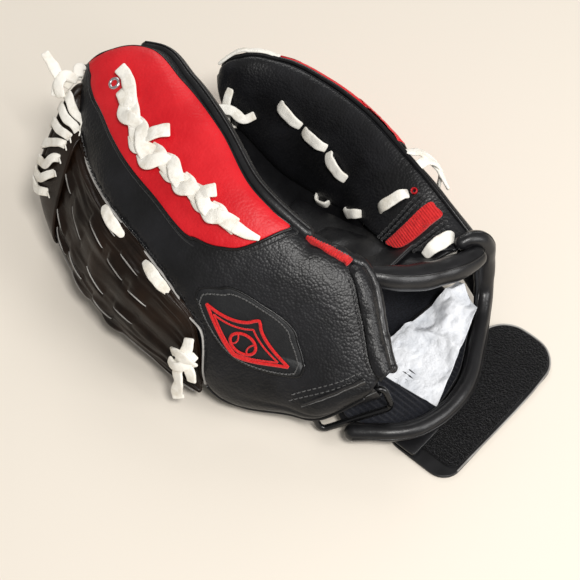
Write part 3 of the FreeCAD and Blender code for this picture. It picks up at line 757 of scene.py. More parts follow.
def thumb_back():
    def relief(y, share):
        puff = 0.5 * np.sin(pi * share)
        waves = rough(np.stack([y, share * 90, y * 0], axis=-1), 0.035, 0.9)
        pull = -0.8 * bell(share, smooth(*WELT, y), 0.04) * (1 + 0.5 * np.sin(y * 0.9))
        crease = -0.8 * bell(share, 0.22 + 0.002 * (y + 20), 0.016) * bell(y, -48, 16)
        crease = crease - 0.7 * bell(y + 40 * share, -22, 1.6) * bell(share, 0.86, 0.06)
        fold = -1.0 * bell(y, -33 + 10 * share, 2.2) * bell(share, 0.93, 0.10)
        return puff + waves * np.sin(pi * share) + pull + crease + fold

    y = np.linspace(-78, 119.4, 160)[:, None] * np.ones((1, 76))
    start = smooth(*WELT, y)
    share = start + (0.935 - start) * (0.5 - 0.5 * np.cos(np.linspace(0, pi, 76)) * 0.999)
    normal = THUMB.normal(y, share)
    grid = THUMB.at(y, share) + normal * relief(y, share)[..., None]
    made("thumb_back_leather", *thick(grid, 2.4, normal), BLACK, "thumb", "thumb_back", "black_leather")

    for name, low, high, material in (("light", -14.5, 118.4, EDGE), ("dark", -76, -15, PIPING)):
        y = np.linspace(low, high, 260)
        share = smooth(*WELT, y) - 0.004
        up = THUMB.normal(y, share + 0.02)
        path = curve(THUMB.raised(y, share, -0.2)[::4], 0.8)
        faces_up = np.stack([np.interp(np.linspace(0, 1, len(path)), np.linspace(0, 1, len(up)), up[:, k])
                             for k in range(3)], axis=-1)
        made(f"thumb_welt_{name}", *sweep(path, 0.5, 1.0, faces_up), material, "thumb", (), "smooth_leather")
    y = np.linspace(-10, 117.5, 240)
    share = smooth(*WELT, y) + 0.022
    line = THUMB.raised(y, share, 0.15)
    made("thumb_welt_stitches", *stitches(line, THUMB.normal(y, share), 2.6, 1.7, 0.22), THREAD, "thumb",
         (), "smooth_leather")


def red_inlay():
    made("thumb_red_inlay", *patch(THUMB, RED_OUTLINE, 1.25, 0.7, 20, 220, 0.9), RED, "thumb",
         "thumb_red_panel", "red_leather")
    line = ring(RED_OUTLINE, 320)
    centre = line.mean(axis=0)
    outer = centre + (line - centre) * 1.02
    path = THUMB.raised(outer[:, 0], np.minimum(outer[:, 1], 0.93), 0.8)
    made("thumb_red_piping", *loop_bar(path, 0.75), PIPING, "thumb", (), "smooth_leather")
    outer = centre + (line - centre) * 1.065
    path = THUMB.raised(outer[:, 0], np.minimum(outer[:, 1], 0.94), 0.3)
    made("thumb_red_seam", *loop_bar(path, 0.45), THREAD, "thumb", (), "smooth_leather")


def thumb_edge(y):
    """The line of the thumb's free edge."""
    return np.column_stack([smooth(THUMB_Y, THUMB_FREE[1][:, 0], y), y, smooth(THUMB_Y, THUMB_FREE[1][:, 1], y)])


def thumb_roll():
    y = np.linspace(-18, 101, 130)
    path = thumb_edge(y)
    radius = 3.9 * (0.72 + 0.28 * np.clip((95 - y) / 45, 0, 1)) + rough(path, 0.06, 0.3)
    made("thumb_roll_leather", *sweep(path, radius, sides=24), SMOOTH, "thumb", "thumb_roll", "smooth_leather")
    tangent = unit(np.gradient(path, axis=0))
    for name, lean in (("upper", 38), ("lower", -48)):
        up = unit(np.array([-0.45, 0, 0.9]) - tangent * (tangent @ np.array([-0.45, 0, 0.9]))[:, None])
        up = twist(up, path, lean)
        line = path + up * (radius + 0.1)[:, None]
        made(f"thumb_roll_piping_{name}", *sweep(line, 0.62, 0.5, up), PIPING, "thumb", (), "smooth_leather")
        made(f"thumb_roll_edge_{name}", *sweep(line + up * 0.42, 0.16, 0.14, up, 6), GREY_THREAD, "thumb", (),
             "smooth_leather")


def flex_insert():
    """The red ribbed elastic wedge between the thumb's roll and its wrist part."""
    outline = [(-20.5, 0.955), (-22, 0.985), (-29, 1.0), (-35, 1.0), (-39.5, 0.965), (-40, 0.91), (-38, 0.895),
               (-33, 0.905), (-26, 0.935)]
    points, faces = patch(THUMB, outline, 1.7, 0.5, 60, 260, 0.4)
    points = points + np.array([0, 0, 1.0]) * (0.22 * np.sin(2 * pi * points[:, 1] / 1.15))[:, None]
    made("thumb_elastic", points, faces, ELASTIC, "thumb", (), "red_elastic")
    y = np.linspace(-44, -17, 70)
    path = thumb_edge(y)
    radius = 2.8 + rough(path, 0.25, 0.9)
    made("thumb_elastic_edge", *sweep(path, radius, sides=24), SMOOTH, "thumb", "thumb_flex_insert",
         "smooth_leather")


WING_SEAM = ([-79, -73.5, -64.5, -52, -45, -40], [0.52, 0.60, 0.72, 0.775, 0.83, 0.88])


def wing_edge():
    """The padded wrist border of the thumb's wing, and the rows of stitches along it."""
    rows, columns = 70, 34
    y = np.linspace(-79.5, -41, rows)[:, None] * np.ones((1, columns))
    t = np.linspace(0, 1, columns)[None] * np.ones((rows, 1))
    share = smooth(*WING_SEAM, y) * (1 - t) + 0.995 * t
    normal = THUMB.normal(np.maximum(y, -76), share)
    lift = 0.7 + 2.3 * np.sin(pi * np.clip(t * 0.92 + 0.04, 0, 1)) ** 0.7
    lift = lift * np.clip((-40.5 - y) / 4, 0.2, 1)
    spot = THUMB.at(np.maximum(y, -77.9), share)
    spot[..., 1] = y
    lift = lift + rough(spot, 0.11, 0.55) + rough(spot, 0.4, 0.1, 6.0)
    border = made("thumb_wing_binding", *thick(spot + normal * lift[..., None], 3.2, normal), BLACK, "thumb",
                  "thumb_binding", "smooth_leather")
    y = np.linspace(-78.5, -40, 60)
    edge = np.column_stack([smooth(THUMB_Y, THUMB_FREE[1][:, 0], y) + 1.2, y,
                            smooth(THUMB_Y, THUMB_FREE[1][:, 1], y) + 0.3])
    made("thumb_wing_rim", *sweep(edge, 2.5 + rough(edge, 0.2, 0.5), sides=20), SMOOTH, "thumb", (),
         "smooth_leather")
    for k, (shift, material) in enumerate(((-0.012, GREY_THREAD), (-0.032, THREAD))):
        y = np.linspace(-74, -43, 80)
        share = smooth(*WING_SEAM, y) + shift
        path = THUMB.raised(y, share, 0.75)
        made(f"thumb_wing_stitches_{k + 1}", *stitches(path, THUMB.normal(y, share), 2.4, 1.6, 0.22),
             material, "thumb", (), "smooth_leather")
    rows = []
    for shift in (0.0, 0.045):
        t = np.linspace(0, 1, 60)
        y, share = -50 - 22 * t, 0.235 + 0.27 * t + shift
        rows.append(stitches(THUMB.raised(y, share, 0.6), THUMB.normal(y, share), 2.6, 1.7, 0.22))
    made("thumb_wing_hem", *joined(rows), GREY_THREAD, "thumb", (), "smooth_leather")


def badge():
    """The oval patch on the thumb's wing, with a plain diamond and ball worked on it in thread."""
    made("badge_patch", *patch(THUMB, BADGE_OUTLINE, 1.3, 0.6, 16, 170, 0.5), PATCH, "thumb", "badge", "badge")
    line = ring(BADGE_OUTLINE, 400)
    centre = line.mean(axis=0)
    edge = centre + (line - centre) * 0.93
    path = THUMB.raised(edge[:, 0], edge[:, 1], 1.75)
    path = np.concatenate([path, path[:1]])
    up = THUMB.normal(np.append(edge[:, 0], edge[0, 0]), np.append(edge[:, 1], edge[0, 1]))
    made("badge_stitches", *stitches(path, up, 1.7, 1.1, 0.28), GREY_THREAD, "thumb", (), "badge")
    edge = centre + (line - centre) * 1.03
    made("badge_piping", *loop_bar(THUMB.raised(edge[:, 0], edge[:, 1], 0.7), 0.7), PIPING, "thumb", (), "badge")

    def drawn(points, count):
        """A line in the patch's own length and width, given as -1 to 1 across it."""
        points = np.asarray(points, float)
        along = np.concatenate([[0], np.cumsum(np.linalg.norm(np.diff(points, axis=0), axis=1))])
        steps = np.linspace(0, along[-1], count)
        long, wide = (np.interp(steps, along, points[:, k]) for k in range(2))
        y, share = badge_spot(long, wide)
        return THUMB.raised(y, share, 2.0 + 0.25 * (1 - long**2)), THUMB.normal(y, share)

    lines = []
    turn = np.linspace(0, 2 * pi, 60)
    for scale, width in ((0.80, 0.75), (0.62, 0.45)):
        corners = np.array([(1, 0), (0, 0.92), (-1, 0), (0, -0.92), (1, 0)]) * scale
        path, up = drawn(corners, 160)
        lines.append(sweep(path, width, 0.4, up, 8))
    path, up = drawn(np.column_stack([0.22 * np.cos(turn), 0.36 * np.sin(turn)]), 90)
    lines.append(sweep(path, 0.7, 0.42, up, 8))
    for sign in (-1, 1):
        bend = np.linspace(-1.0, 1.0, 20)
        path, up = drawn(np.column_stack([sign * (0.24 - 0.14 * np.cos(bend)), 0.30 * np.sin(bend)]), 40)
        lines.append(sweep(path, 0.4, 0.4, up, 8))
    made("badge_emblem", *joined(lines), RED_THREAD, "thumb", (), "badge")


def eyelet(name, panel, y, share, node, body, material=CHROME, scale=1.0):
    """A rolled metal ring set in the leather."""
    up = panel.normal(y, share)
    centre = panel.raised(y, share, 1.5)
    side = unit(np.cross(up, [0.0, 1.0, 0.2]))
    other = np.cross(up, side)
    angles = 2 * pi * np.arange(40) / 40
    profile = [(1.5, -1.2), (1.55, 0.2), (1.8, 0.75), (2.3, 0.95), (2.8, 0.75), (3.1, 0.3), (3.15, -0.4)]
    profile = [(r * scale, h) for r, h in profile]
    vertices = np.concatenate([centre + r * (np.cos(angles)[:, None] * side + np.sin(angles)[:, None] * other)
                               + up * h for r, h in profile])
    faces = []
    count = len(angles)
    for i in range(len(profile)):
        m = (i + 1) % len(profile)
        for k in range(count):
            n = (k + 1) % count
            faces.append((i * count + k, m * count + k, m * count + n, i * count + n))
    made(name, vertices, faces, material, body, node, "eyelet_metal")


def thumb_lace():
    """The flat lace woven down the red inlay: two strands twisted together, with free ends."""
    line = ([-7, -1, 9, 19, 32, 48, 59, 69, 79, 88, 96],
            [0.715, 0.685, 0.645, 0.605, 0.565, 0.53, 0.508, 0.512, 0.525, 0.565, 0.585])
    parts = []

    def leaf(stops, width, turn, seed):
        """stops are (y, shift off the middle line, lift)."""
        places = [(y, smooth(*line, y) + shift, lift) for y, shift, lift in stops]
        points = [THUMB.raised(*place) for place in places]
        ups = [THUMB.normal(y, share) for y, share, _ in places]
        parts.append(thong(points, width, ups, turn, 1.5, 0.6, 0.4, seed))

    leaf([(96, 0.018, 5.4), (91.5, 0.018, 4.8), (86, 0.014, 4.2), (80, 0.006, 3.2)], [6.4, 6.6, 6.4], [0, -6], 1)
    leaf([(91, -0.046, 1.4), (88.5, -0.036, 3.6), (84, -0.018, 3.8), (78, 0.0, 2.6)], [4.8, 6.4, 6.6], [-10, 6], 2)
    tops = [(83, -1), (71, 1), (59.5, -1), (48.5, 1), (38, -1), (28, 1), (19, -1)]
    for k, (y, side) in enumerate(tops):
        span = 16.0 if k < 4 else 14.0
        leaf([(y + 1.5, 0.017 * side, 1.8), (y - span * 0.28, 0.020 * side, 4.6),
              (y - span * 0.62, -0.004 * side, 4.9),
              (y - span, -0.018 * side, 2.2)], [4.8, 6.8, 6.6, 5.0], [14 * side, -10 * side, -22 * side], 3 + k)
        leaf([(y - 1, -0.016 * side, 1.6), (y - span * 0.4, -0.017 * side, 3.2),
              (y - span * 0.75, 0.003 * side, 3.4),
              (y - span - 1, 0.016 * side, 1.8)], [4.8, 6.2, 6.0, 4.8], [-12 * side, 16 * side], 20 + k)
    leaf([(64, 0.0, 3.2), (61, 0.038, 5.2), (58, 0.075, 5.6), (55.5, 0.10, 5.0)], [5.8, 6.6, 6.8], [-14, -6], 40)
    leaf([(25, 0.01, 3.6), (22.5, 0.045, 5.4), (20, 0.075, 5.2)], [5.8, 6.4, 6.4], [-8, 4], 41)
    leaf([(14, 0.0, 3.4), (9, 0.0, 4.4), (4, 0.0, 4.0), (-1, 0.0, 3.0), (-6, 0.004, 2.2)],
         [6.6, 6.6, 6.0, 4.6, 2.6],
         [6, -6], 42)
    made("thumb_lace_thong", *joined(parts), LACE, "thumb", "thumb_lace", "lace")


def thumb_inside():
    def relief(y, share):
        return rough(np.stack([y, share * 80, y * 0], axis=-1), 0.04, 1.0)

    grid, normal = grid_of(THUMB_INSIDE, 8, 119.4, 0.02, 0.93, 90, 50, relief)
    made("thumb_palm_leather", *thick(grid, 2.4, normal), SMOOTH, "thumb", "thumb_palm", "smooth_leather")


# ============================================================================================== web
SLITS = [((96, 0.42), (84, 0.36)), ((92, 0.30), (80, 0.24)), ((84, 0.55), (70, 0.50)), ((78, 0.34), (64, 0.30)),
         ((74, 0.18), (58, 0.14)), ((68, 0.66), (54, 0.62)), ((62, 0.45), (47, 0.41)), ((55, 0.28), (40, 0.26)),
         ((50, 0.60), (38, 0.57)), ((44, 0.72), (31, 0.70)), ((40, 0.40), (27, 0.40)), ((34, 0.55), (22, 0.56)),
         ((60, 0.80), (50, 0.79)), ((98, 0.60), (88, 0.57)), ((48, 0.12), (34, 0.12))]


def web_relief(y, share):
    """Long creases along the web and a raised lip at each slit."""
    spot = np.stack([y * 0.22, share * 90, y * 0], axis=-1)
    height = rough(spot, 0.16, 1.1) + rough(spot, 0.4, 0.35, 7.0)
    for k, ((y0, s0), (y1, s1)) in enumerate(SLITS):
        along = (y0 - y) / (y0 - y1)
        middle = s0 + (s1 - s0) * along + 0.012 * np.sin(pi * along)
        inside = np.clip(np.sin(pi * np.clip(along, 0, 1)), 0, 1) ** 0.5
        offset = share - middle
        lip = np.where(offset > 0, np.exp(-((offset / 0.055) ** 2)), np.exp(-((offset / 0.006) ** 2)))
        groove = np.exp(-(((offset + 0.016) / 0.014) ** 2))
        height = height + inside * (1.7 * lip - 1.1 * groove)
    return height


def web():
    grid, normal = grid_of(WEB, -13.5, 116, 0.02, 0.985, 190, 150, web_relief)
    made("web_leather", *thick(grid, 2.0, normal), GLOSSY, "thumb", ("web_panel", "web_weave"), "web_leather")
    edges = []
    for (y0, s0), (y1, s1) in SLITS:
        t = np.linspace(0.04, 0.96, 22)
        y = y0 + (y1 - y0) * t
        share = s0 + (s1 - s0) * t + 0.012 * np.sin(pi * t) + 0.001
        up = WEB.normal(y, share)
        path = WEB.raised(y, share, 1.75 * np.sin(pi * t) ** 0.5 - 0.1)
        edges.append(sweep(path, 0.34 * np.sin(pi * t) ** 0.6 + 0.06, 0.28, up, 8))
    made("web_slit_edges", *joined(edges), EDGE, "thumb", (), "web_leather")

    y = np.linspace(-10, 114.5, 140)
    lower = []
    for share, lift in ((0.015, 0.3), (0.055, 0.8)):
        lower.append(sweep(WEB.raised(y, share + 0 * y, lift), 0.25, 0.4, WEB.normal(y, share + 0 * y), 8))
    made("web_edge_lines", *joined(lower), EDGE, "thumb", (), "web_leather")
    share = np.linspace(0.04, 0.94, 70)
    top = WEB.raised(115.4 + 0 * share, share, 0.4)
    made("web_top_binding", *sweep(top, 2.4, 2.0, WEB.normal(115.4 + 0 * share, share), 14), GLOSSY, "thumb",
         (), "web_leather")
    flap_y = np.linspace(99, 114, 14)[:, None] * np.ones((1, 40))
    flap_share = np.linspace(0.05, 0.95, 40)[None] * np.ones((14, 1))
    flap_y = flap_y - 9 * (1 - flap_share) * (114 - flap_y) / 15
    up = WEB.normal(flap_y, flap_share)
    grid = WEB.at(flap_y, flap_share) + up * 2.3
    made("web_top_flap", *thick(grid, 1.6, up), GLOSSY, "thumb", (), "web_leather")


def web_laces():
    """Seven turns of flat lace over the web's top edge, and the two turns further down it."""
    parts = []
    for k in range(7):
        share = 0.13 + 0.102 * k
        lean = 0.27 + 0.015 * (k % 2)
        stops = [(116.5, share - 0.02, -3.0), (118.2, share - 0.01, 0.8), (115.6, share + 0.02, 3.4),
                 (110, share + lean * 0.45, 4.0), (104.5, share + lean * 0.9, 3.6), (102.6, share + lean, 1.2)]
        points = [WEB.raised(min(y, 116), s, h) + np.array([0, max(y - 116, 0), 0]) for y, s, h in stops]
        ups = [WEB.normal(min(y, 114), s) + np.array([0, 1.6 * (y > 115.8), 0]) for y, s, h in stops]
        parts.append(thong(points, [4.2, 4.6, 4.4, 4.0], ups, [0, -10 + 5 * (k % 3)], 1.5, 0.6, 0.3, k))
        parts.append(sweep(curve([WEB.raised(103, share + lean, 2.5), WEB.raised(101.5, share + lean + 0.02, 3.4),
                                  WEB.raised(100, share + lean + 0.01, 2.9)], 0.5), 0.35, 0.35, sides=6))
    made("web_top_thong", *joined(parts), LACE, "thumb", "web_top_lace", "lace")

    loops = []
    for y, share, half in ((23, 0.865, 8.6), (56, 0.885, 8.4)):
        stops = [(y - half, share - 0.02, -0.9), (y - half * 0.6, share - 0.015, 1.6), (y, share - 0.01, 2.5),
                 (y + half * 0.6, share, 1.6), (y + half, share, -0.9)]
        points = [WEB.raised(*stop) for stop in stops]
        ups = [WEB.normal(a, b) for a, b, _ in stops]
        loops.append(thong(points, [3.2, 5.2, 5.6, 5.0, 3.0], ups, 0, 1.7, 0.6, 0.3, y))
    made("web_side_loops", *joined(loops), LACE, "thumb", "web_loops", "lace")


def tip_knot():
    """The knot at the web's top corner, with one end standing up."""
    parts = [
        thong([(-22, 119.5, 78), (-24, 123.5, 81.5), (-24, 128, 87), (-24.5, 131.5, 92.5)], [5.2, 5.6, 5.0, 4.2],
              [-0.4, -0.4, 0.8], [0, 18, -10], 1.6, 0.5, 0.3, 1),
        thong([(-15.5, 119.5, 79), (-20, 122.5, 80.5), (-25.5, 123.5, 79.5), (-30, 121.5, 76)],
              [4.4, 5.8, 5.8, 5.0],
              [-0.4, -0.3, 0.85], [10, -8], 1.6, 0.5, 0.3, 2),
        thong([(-19, 118.5, 80), (-23, 122, 83), (-27.5, 121.5, 81), (-29.5, 118.5, 77)], [4.4, 5.6, 5.4, 4.4],
              [-0.5, -0.2, 0.85], [-14, 14], 1.6, 0.5, 0.3, 3),
        thong([(-17, 119, 81), (-14.5, 121, 82.5), (-12, 120.5, 82)], [4.6, 5.4, 4.6],
              [-0.2, -0.2, 0.95], [6, -10], 1.6, 0.5, 0.3, 4),
    ]
    made("web_tip_knot", *joined(parts), LACE, "thumb", (), "lace")


def crotch_knot():
    """The knot where the web meets the wrist side, with its hanging tail."""
    c = np.array([-76.5, -4.5, 32.0])
    out = unit([-0.85, -0.35, 0.35])
    side = unit(np.cross(out, [0, 0, 1.0]))
    rise = np.cross(side, out)

    def at(a, b, h):
        return c + side * a + rise * b + out * h

    parts = [
        thong([at(-1, 9, -3), at(-1.5, 6, 0.5), at(0, 1, 2.2), at(2.5, -4, 0.8)], [5.0, 6.0, 5.0], out, [0, 20],
              1.7, 0.5, 0.3, 1),
        thong([at(5.5, 1.5, -1), at(2.5, 3.5, 2.0), at(-2.5, 2.0, 3.0), at(-5.5, -1.5, 0.6)], [4.6, 5.6, 4.8], out,
              [-12, 10], 1.7, 0.5, 0.3, 2),
        thong([at(-5, 3, -0.5), at(-1.5, -1.5, 3.0), at(3.0, -3.5, 2.6), at(6.0, -2.5, 0.5)], [4.4, 5.4, 4.6], out,
              [8, -14], 1.7, 0.5, 0.3, 3),
        thong([at(1, -2, 1.4), at(1.5, -7, 1.6), at(0.5, -13, 1.8), at(1.0, -19, 1.2), at(0.2, -22, 0.8)],
              [5.0, 5.4, 5.6, 5.6], out, [0, 24, -10], 1.6, 0.5, 0.3, 4),
        thong([at(-2, -2, 1.0), at(-4.5, -5.5, 1.6), at(-5.5, -10, 1.2)], [4.6, 5.2, 5.0], out, [-6, 12], 1.6, 0.5,
              0.3, 5),
    ]
    made("crotch_knot_thong", *joined(parts), LACE, "thumb", "crotch_knot", "lace")


# =================================================================================== finger stalls
def finger_stalls():
    for name, (stations, left_x, left_z, right_x, right_z) in STALLS.items():
        left, right = scaled(stations, left_x, left_z), scaled(stations, right_x, right_z)
        low, high = stations[0], stations[-1] - 0.2
        for part, side, material in (("back", -1, BLACK), ("palm", 1, SMOOTH)):
            panel = Panel(left, right, (stations, SPREAD), side)

            def relief(y, share):
                waves = rough(np.stack([y, share * 40, y * 0 + side * 30], axis=-1), 0.06, 0.8)
                return waves * np.sin(pi * share) * (0.35 if side < 0 else 1.0) - 0.5 * (share < 0.03)

            grid, normal = grid_of(panel, low, high, 0.02, 0.98, 80, 34, relief)
            made(f"{name}_{part}_leather", *thick(grid, 2.4, normal), material, "hand", f"{name}_{part}",
                 "black_leather")
        y = np.linspace(low, stations[-1] - 0.4, 90)
        outline = [np.column_stack([smooth(*seam, y)[:, 0], y, smooth(*seam, y)[:, 1]]) for seam in (left, right)]
        path = np.concatenate([outline[0], outline[1][::-1]])
        path = curve(path[::3], 1.2)
        up = np.broadcast_to([0.0, 0.0, 1.0], path.shape)
        made(f"{name}_welt", *sweep(path, 1.5, 0.75, up, 8), PIPING, "hand", (), "smooth_leather")
        top = Panel(left, right, (stations, SPREAD), 1)
        rows = []
        for share in (0.14, 0.86):
            y = np.linspace(low + 6, stations[-1] - 12, 70)
            rows.append(stitches(top.raised(y, share + 0 * y, 0.5), top.normal(y, share + 0 * y)))
        made(f"{name}_stitches", *joined(rows), GREY_THREAD, "hand", (), "smooth_leather")


# =============================================================================== palm and the heel
def slab_grid(panel, low, high, start, end, rows, columns, relief):
    y = np.linspace(low, high, rows)[:, None] * np.ones((1, columns))
    share = np.linspace(start, end, columns)[None] * np.ones((rows, 1))
    return panel.at(y, share, relief(y, share))


def palm():
    def relief(y, share):
        return rough(np.stack([y, share * 40, y * 0], axis=-1), 0.07, 1.2) * np.sin(pi * share) ** 0.5

    grid = slab_grid(PALM, -50, 3, 0.01, 0.99, 60, 50, relief)
    made("palm_leather", *thick(grid, 2.4, up=(0, 0, 1)), SMOOTH, "hand", "palm_centre", "smooth_leather")
    grid = slab_grid(WALL, -50, 3, 0.01, 0.99, 60, 40, lambda y, s: 0.5 * relief(y, s))
    made("palm_wall_leather", *thick(grid, 2.4, up=(0.6, 0, 0.5)), SMOOTH, "thumb", "palm_thumb_wall",
         "smooth_leather")


def heel_roll():
    """The padded roll along the heel of the palm, from the thumb's edge to the little finger's."""
    path = curve([(0.5, -47, 56.0), (6, -53, 54), (14, -59, 50.8), (22, -63.2, 48.2), (33, -67.6, 45.4),
                  (43, -70.4, 43.4), (50, -71.0, 42.4), (55, -70.2, 41.4)], 0.8)
    share = np.linspace(0, 1, len(path))
    radius = (4.8 + 1.8 * np.sin(pi * share) + rough(path, 0.09, 0.6)) * np.clip((1.05 - share) / 0.12, 0.55, 1)
    roll = made("heel_roll_leather", *sweep(path, radius, radius * 0.94, sides=30), SMOOTH,
                "hand", "heel_roll", "smooth_leather")
    line = path + np.array([0.1, -0.62, 0.78]) * (radius * 0.97)[:, None]
    made("heel_roll_seam", *sweep(line, 0.5, 0.35, [0.1, -0.62, 0.78]), PIPING, "hand", (), "smooth_leather")


def back_panel():
    outline = [(-58, -14), (44, -14), (50, -40), (50, -60), (-34, -60), (-46, -45)]
    made("back_leather", *flat_patch(outline, 0.0, 2.4, 0.0), BLACK, "hand", "back_panel", "black_leather")


CUFF = [(-36, -60.8), (50, -60.8), (52, -70), (36, -83), (14, -94), (-9, -98), (-26, -93), (-38, -80), (-42, -70)]


def cuff():
    made("cuff_leather", *flat_patch(CUFF, 6.0, 2.0, 0.0), SMOOTH, "hand", "cuff", "black_leather")

    def ribs(spot):
        return 0.32 * np.sin(spot[:, 0] * 2 * pi / 2.6) + rough(np.column_stack([spot, spot[:, 0] * 0]), 0.1, 0.5)

    inner = [(x * 0.95, min(y + 0.5, -62)) for x, y in CUFF]
    made("cuff_ribbed_cloth", *flat_patch(inner, 8.4, 1.2, 0.5, 60, 260, ribs), RIBBED, "hand", "cuff_cloth",
         "ribbed_cloth")


def white_sheet():
    """The thin white sheet that lies crumpled in the opening."""
    rows = columns = 70
    u = np.linspace(0, 1, columns)[None] * np.ones((rows, 1))
    v = np.linspace(0, 1, rows)[:, None] * np.ones((1, columns))
    a, b, c, d = np.array([(-14, -56), (50, -64), (44, -80), (-9, -98)], float)
    x = (1 - u) * (1 - v) * a[0] + u * (1 - v) * b[0] + u * v * c[0] + (1 - u) * v * d[0]
    y = (1 - u) * (1 - v) * a[1] + u * (1 - v) * b[1] + u * v * c[1] + (1 - u) * v * d[1]
    spot = np.stack([x, y, x * 0], axis=-1)
    ridges = np.abs(rough(spot, 0.055, 1.0, 3.0))
    height = 9 + 7.0 * (1 - ridges * 2.2) * np.clip(u * 1.6, 0.2, 1) + 1.2 * np.abs(rough(spot, 0.2, 1.0, 9.0))
    height = np.maximum(height, 10.5)
    height = height + 12 * np.clip(u - 0.55, 0, 1) ** 1.5
    grid = np.stack([x, y, height], axis=-1)
    piece = made("liner_white_sheet", *thick(grid, 0.4, up=(0, 0, 1), rim=2), SHEET, "hand", "liner_sheet",
                 "white_sheet", sharp=0)
    return piece


# Where the wrist's pieces would bend when the little finger folds; made() reads none of it and leaves them fixed.
WRIST_BEND = ("hand", "little_finger", (50, -79, 11), (57.5, -71, 30))


def wrist_roll():
    path = curve([(-44, -78, 9.5), (-39, -84.5, 10.6), (-34, -90.5, 10.8), (-26, -97, 10.5), (-10, -102, 10.3),
                  (8, -101, 10.3), (28, -92, 10.3), (45.5, -82, 11.0), (53.5, -76.5, 15), (57, -73, 22),
                  (58.5, -70.5, 31), (58.5, -69.5, 39), (56.5, -67.5, 45), (52.5, -65, 47.5), (48, -63, 47)], 0.8)
    radius = 4.1 + 1.3 * np.clip((path[:, 2] - 11) / 12, 0, 1) + rough(path, 0.1, 0.35)
    radius[-22:] = radius[-22:] * np.linspace(1, 0.6, 22)
    roll = made("wrist_roll_leather", *sweep(path, radius, sides=28), SMOOTH,
                WRIST_BEND, ("wrist_binding", "pinky_binding"),
                "smooth_leather")
    z = np.linspace(10, 44, 16)[:, None] * np.ones((1, 8))
    share = np.linspace(0, 1, 8)[None, :, None] * np.ones((16, 1, 1))
    rolled = smooth([10, 15, 22, 31, 39, 45], [(49, -80), (53.5, -76.5), (57, -73), (58.5, -70.5), (58.5, -69.5),
                                              (56.5, -67.5)], z)
    plan = rolled * share + np.array([58.0, -61.5]) * (1 - share)
    made("wrist_side_wall", *thick(np.concatenate([plan, z[..., None]], axis=-1), 1.6, up=(1.0, 0.0, 0.0)), BLACK,
         WRIST_BEND, (), "black_leather")
    tangent = unit(np.gradient(path, axis=0))
    inward = unit(np.array([10, -70, 30.0]) - path)
    inward = unit(inward - tangent * (inward * tangent).sum(-1, keepdims=True))
    for name, angle in (("inner", 10), ("outer", 150)):
        up = twist(inward, path, angle)
        line = path + up * radius[:, None]
        made(f"wrist_roll_seam_{name}", *sweep(line, 0.5, 0.35, up, 8), PIPING,
             WRIST_BEND, (), "smooth_leather")


# ===================================================================================== little finger
PINKY_BEND = ("hand", "little_finger", (30, -30, 40), (42, -30, 40))


def little_finger():
    def relief(y, share):
        return rough(np.stack([y, share * 60, y * 0 + 9], axis=-1), 0.05, 0.9) * np.sin(pi * share)

    grid, normal = grid_of(PINKY_BACK, -64, 90.6, 0.02, 0.97, 110, 50, relief)
    made("pinky_back_leather", *thick(grid, 2.4, normal), BLACK, "little_finger", "pinky_back", "black_leather")
    grid, normal = grid_of(PINKY_PALM, -63, 90.6, 0.02, 0.97, 130, 60, relief)
    made("pinky_palm_leather", *thick(grid, 2.4, normal), BLACK, PINKY_BEND, "pinky_palm", "black_leather")
    y = np.linspace(-62, 90.2, 150)
    for name, seam in (("free", PINKY_FREE), ("root", PINKY_ROOT)):
        place = smooth(*seam, y)
        path = np.column_stack([place[:, 0], y, place[:, 1]])
        made(f"pinky_welt_{name}", *sweep(path, 1.3, 1.5, (0.4, 0, 0.9), 10), PIPING, "little_finger", (),
             "smooth_leather")
    outline = [(-8, 0.34), (-12, 0.6), (-8, 0.93), (20, 0.985), (50, 0.985), (72, 0.985), (82, 0.93), (84, 0.6),
               (80, 0.38), (60, 0.32), (30, 0.30), (5, 0.31)]
    made("pinky_red_inlay", *patch(PINKY_BACK, outline, 2.0, 0.8, 16, 190, 0.6), RED, "little_finger",
         "pinky_red_panel", "red_leather")
    line = ring(outline, 260)
    centre = line.mean(axis=0)
    outer = centre + (line - centre) * 1.03
    path = PINKY_BACK.raised(outer[:, 0], np.minimum(outer[:, 1], 0.99), 0.8)
    made("pinky_red_piping", *loop_bar(path, 0.75), PIPING, "little_finger", (), "smooth_leather")


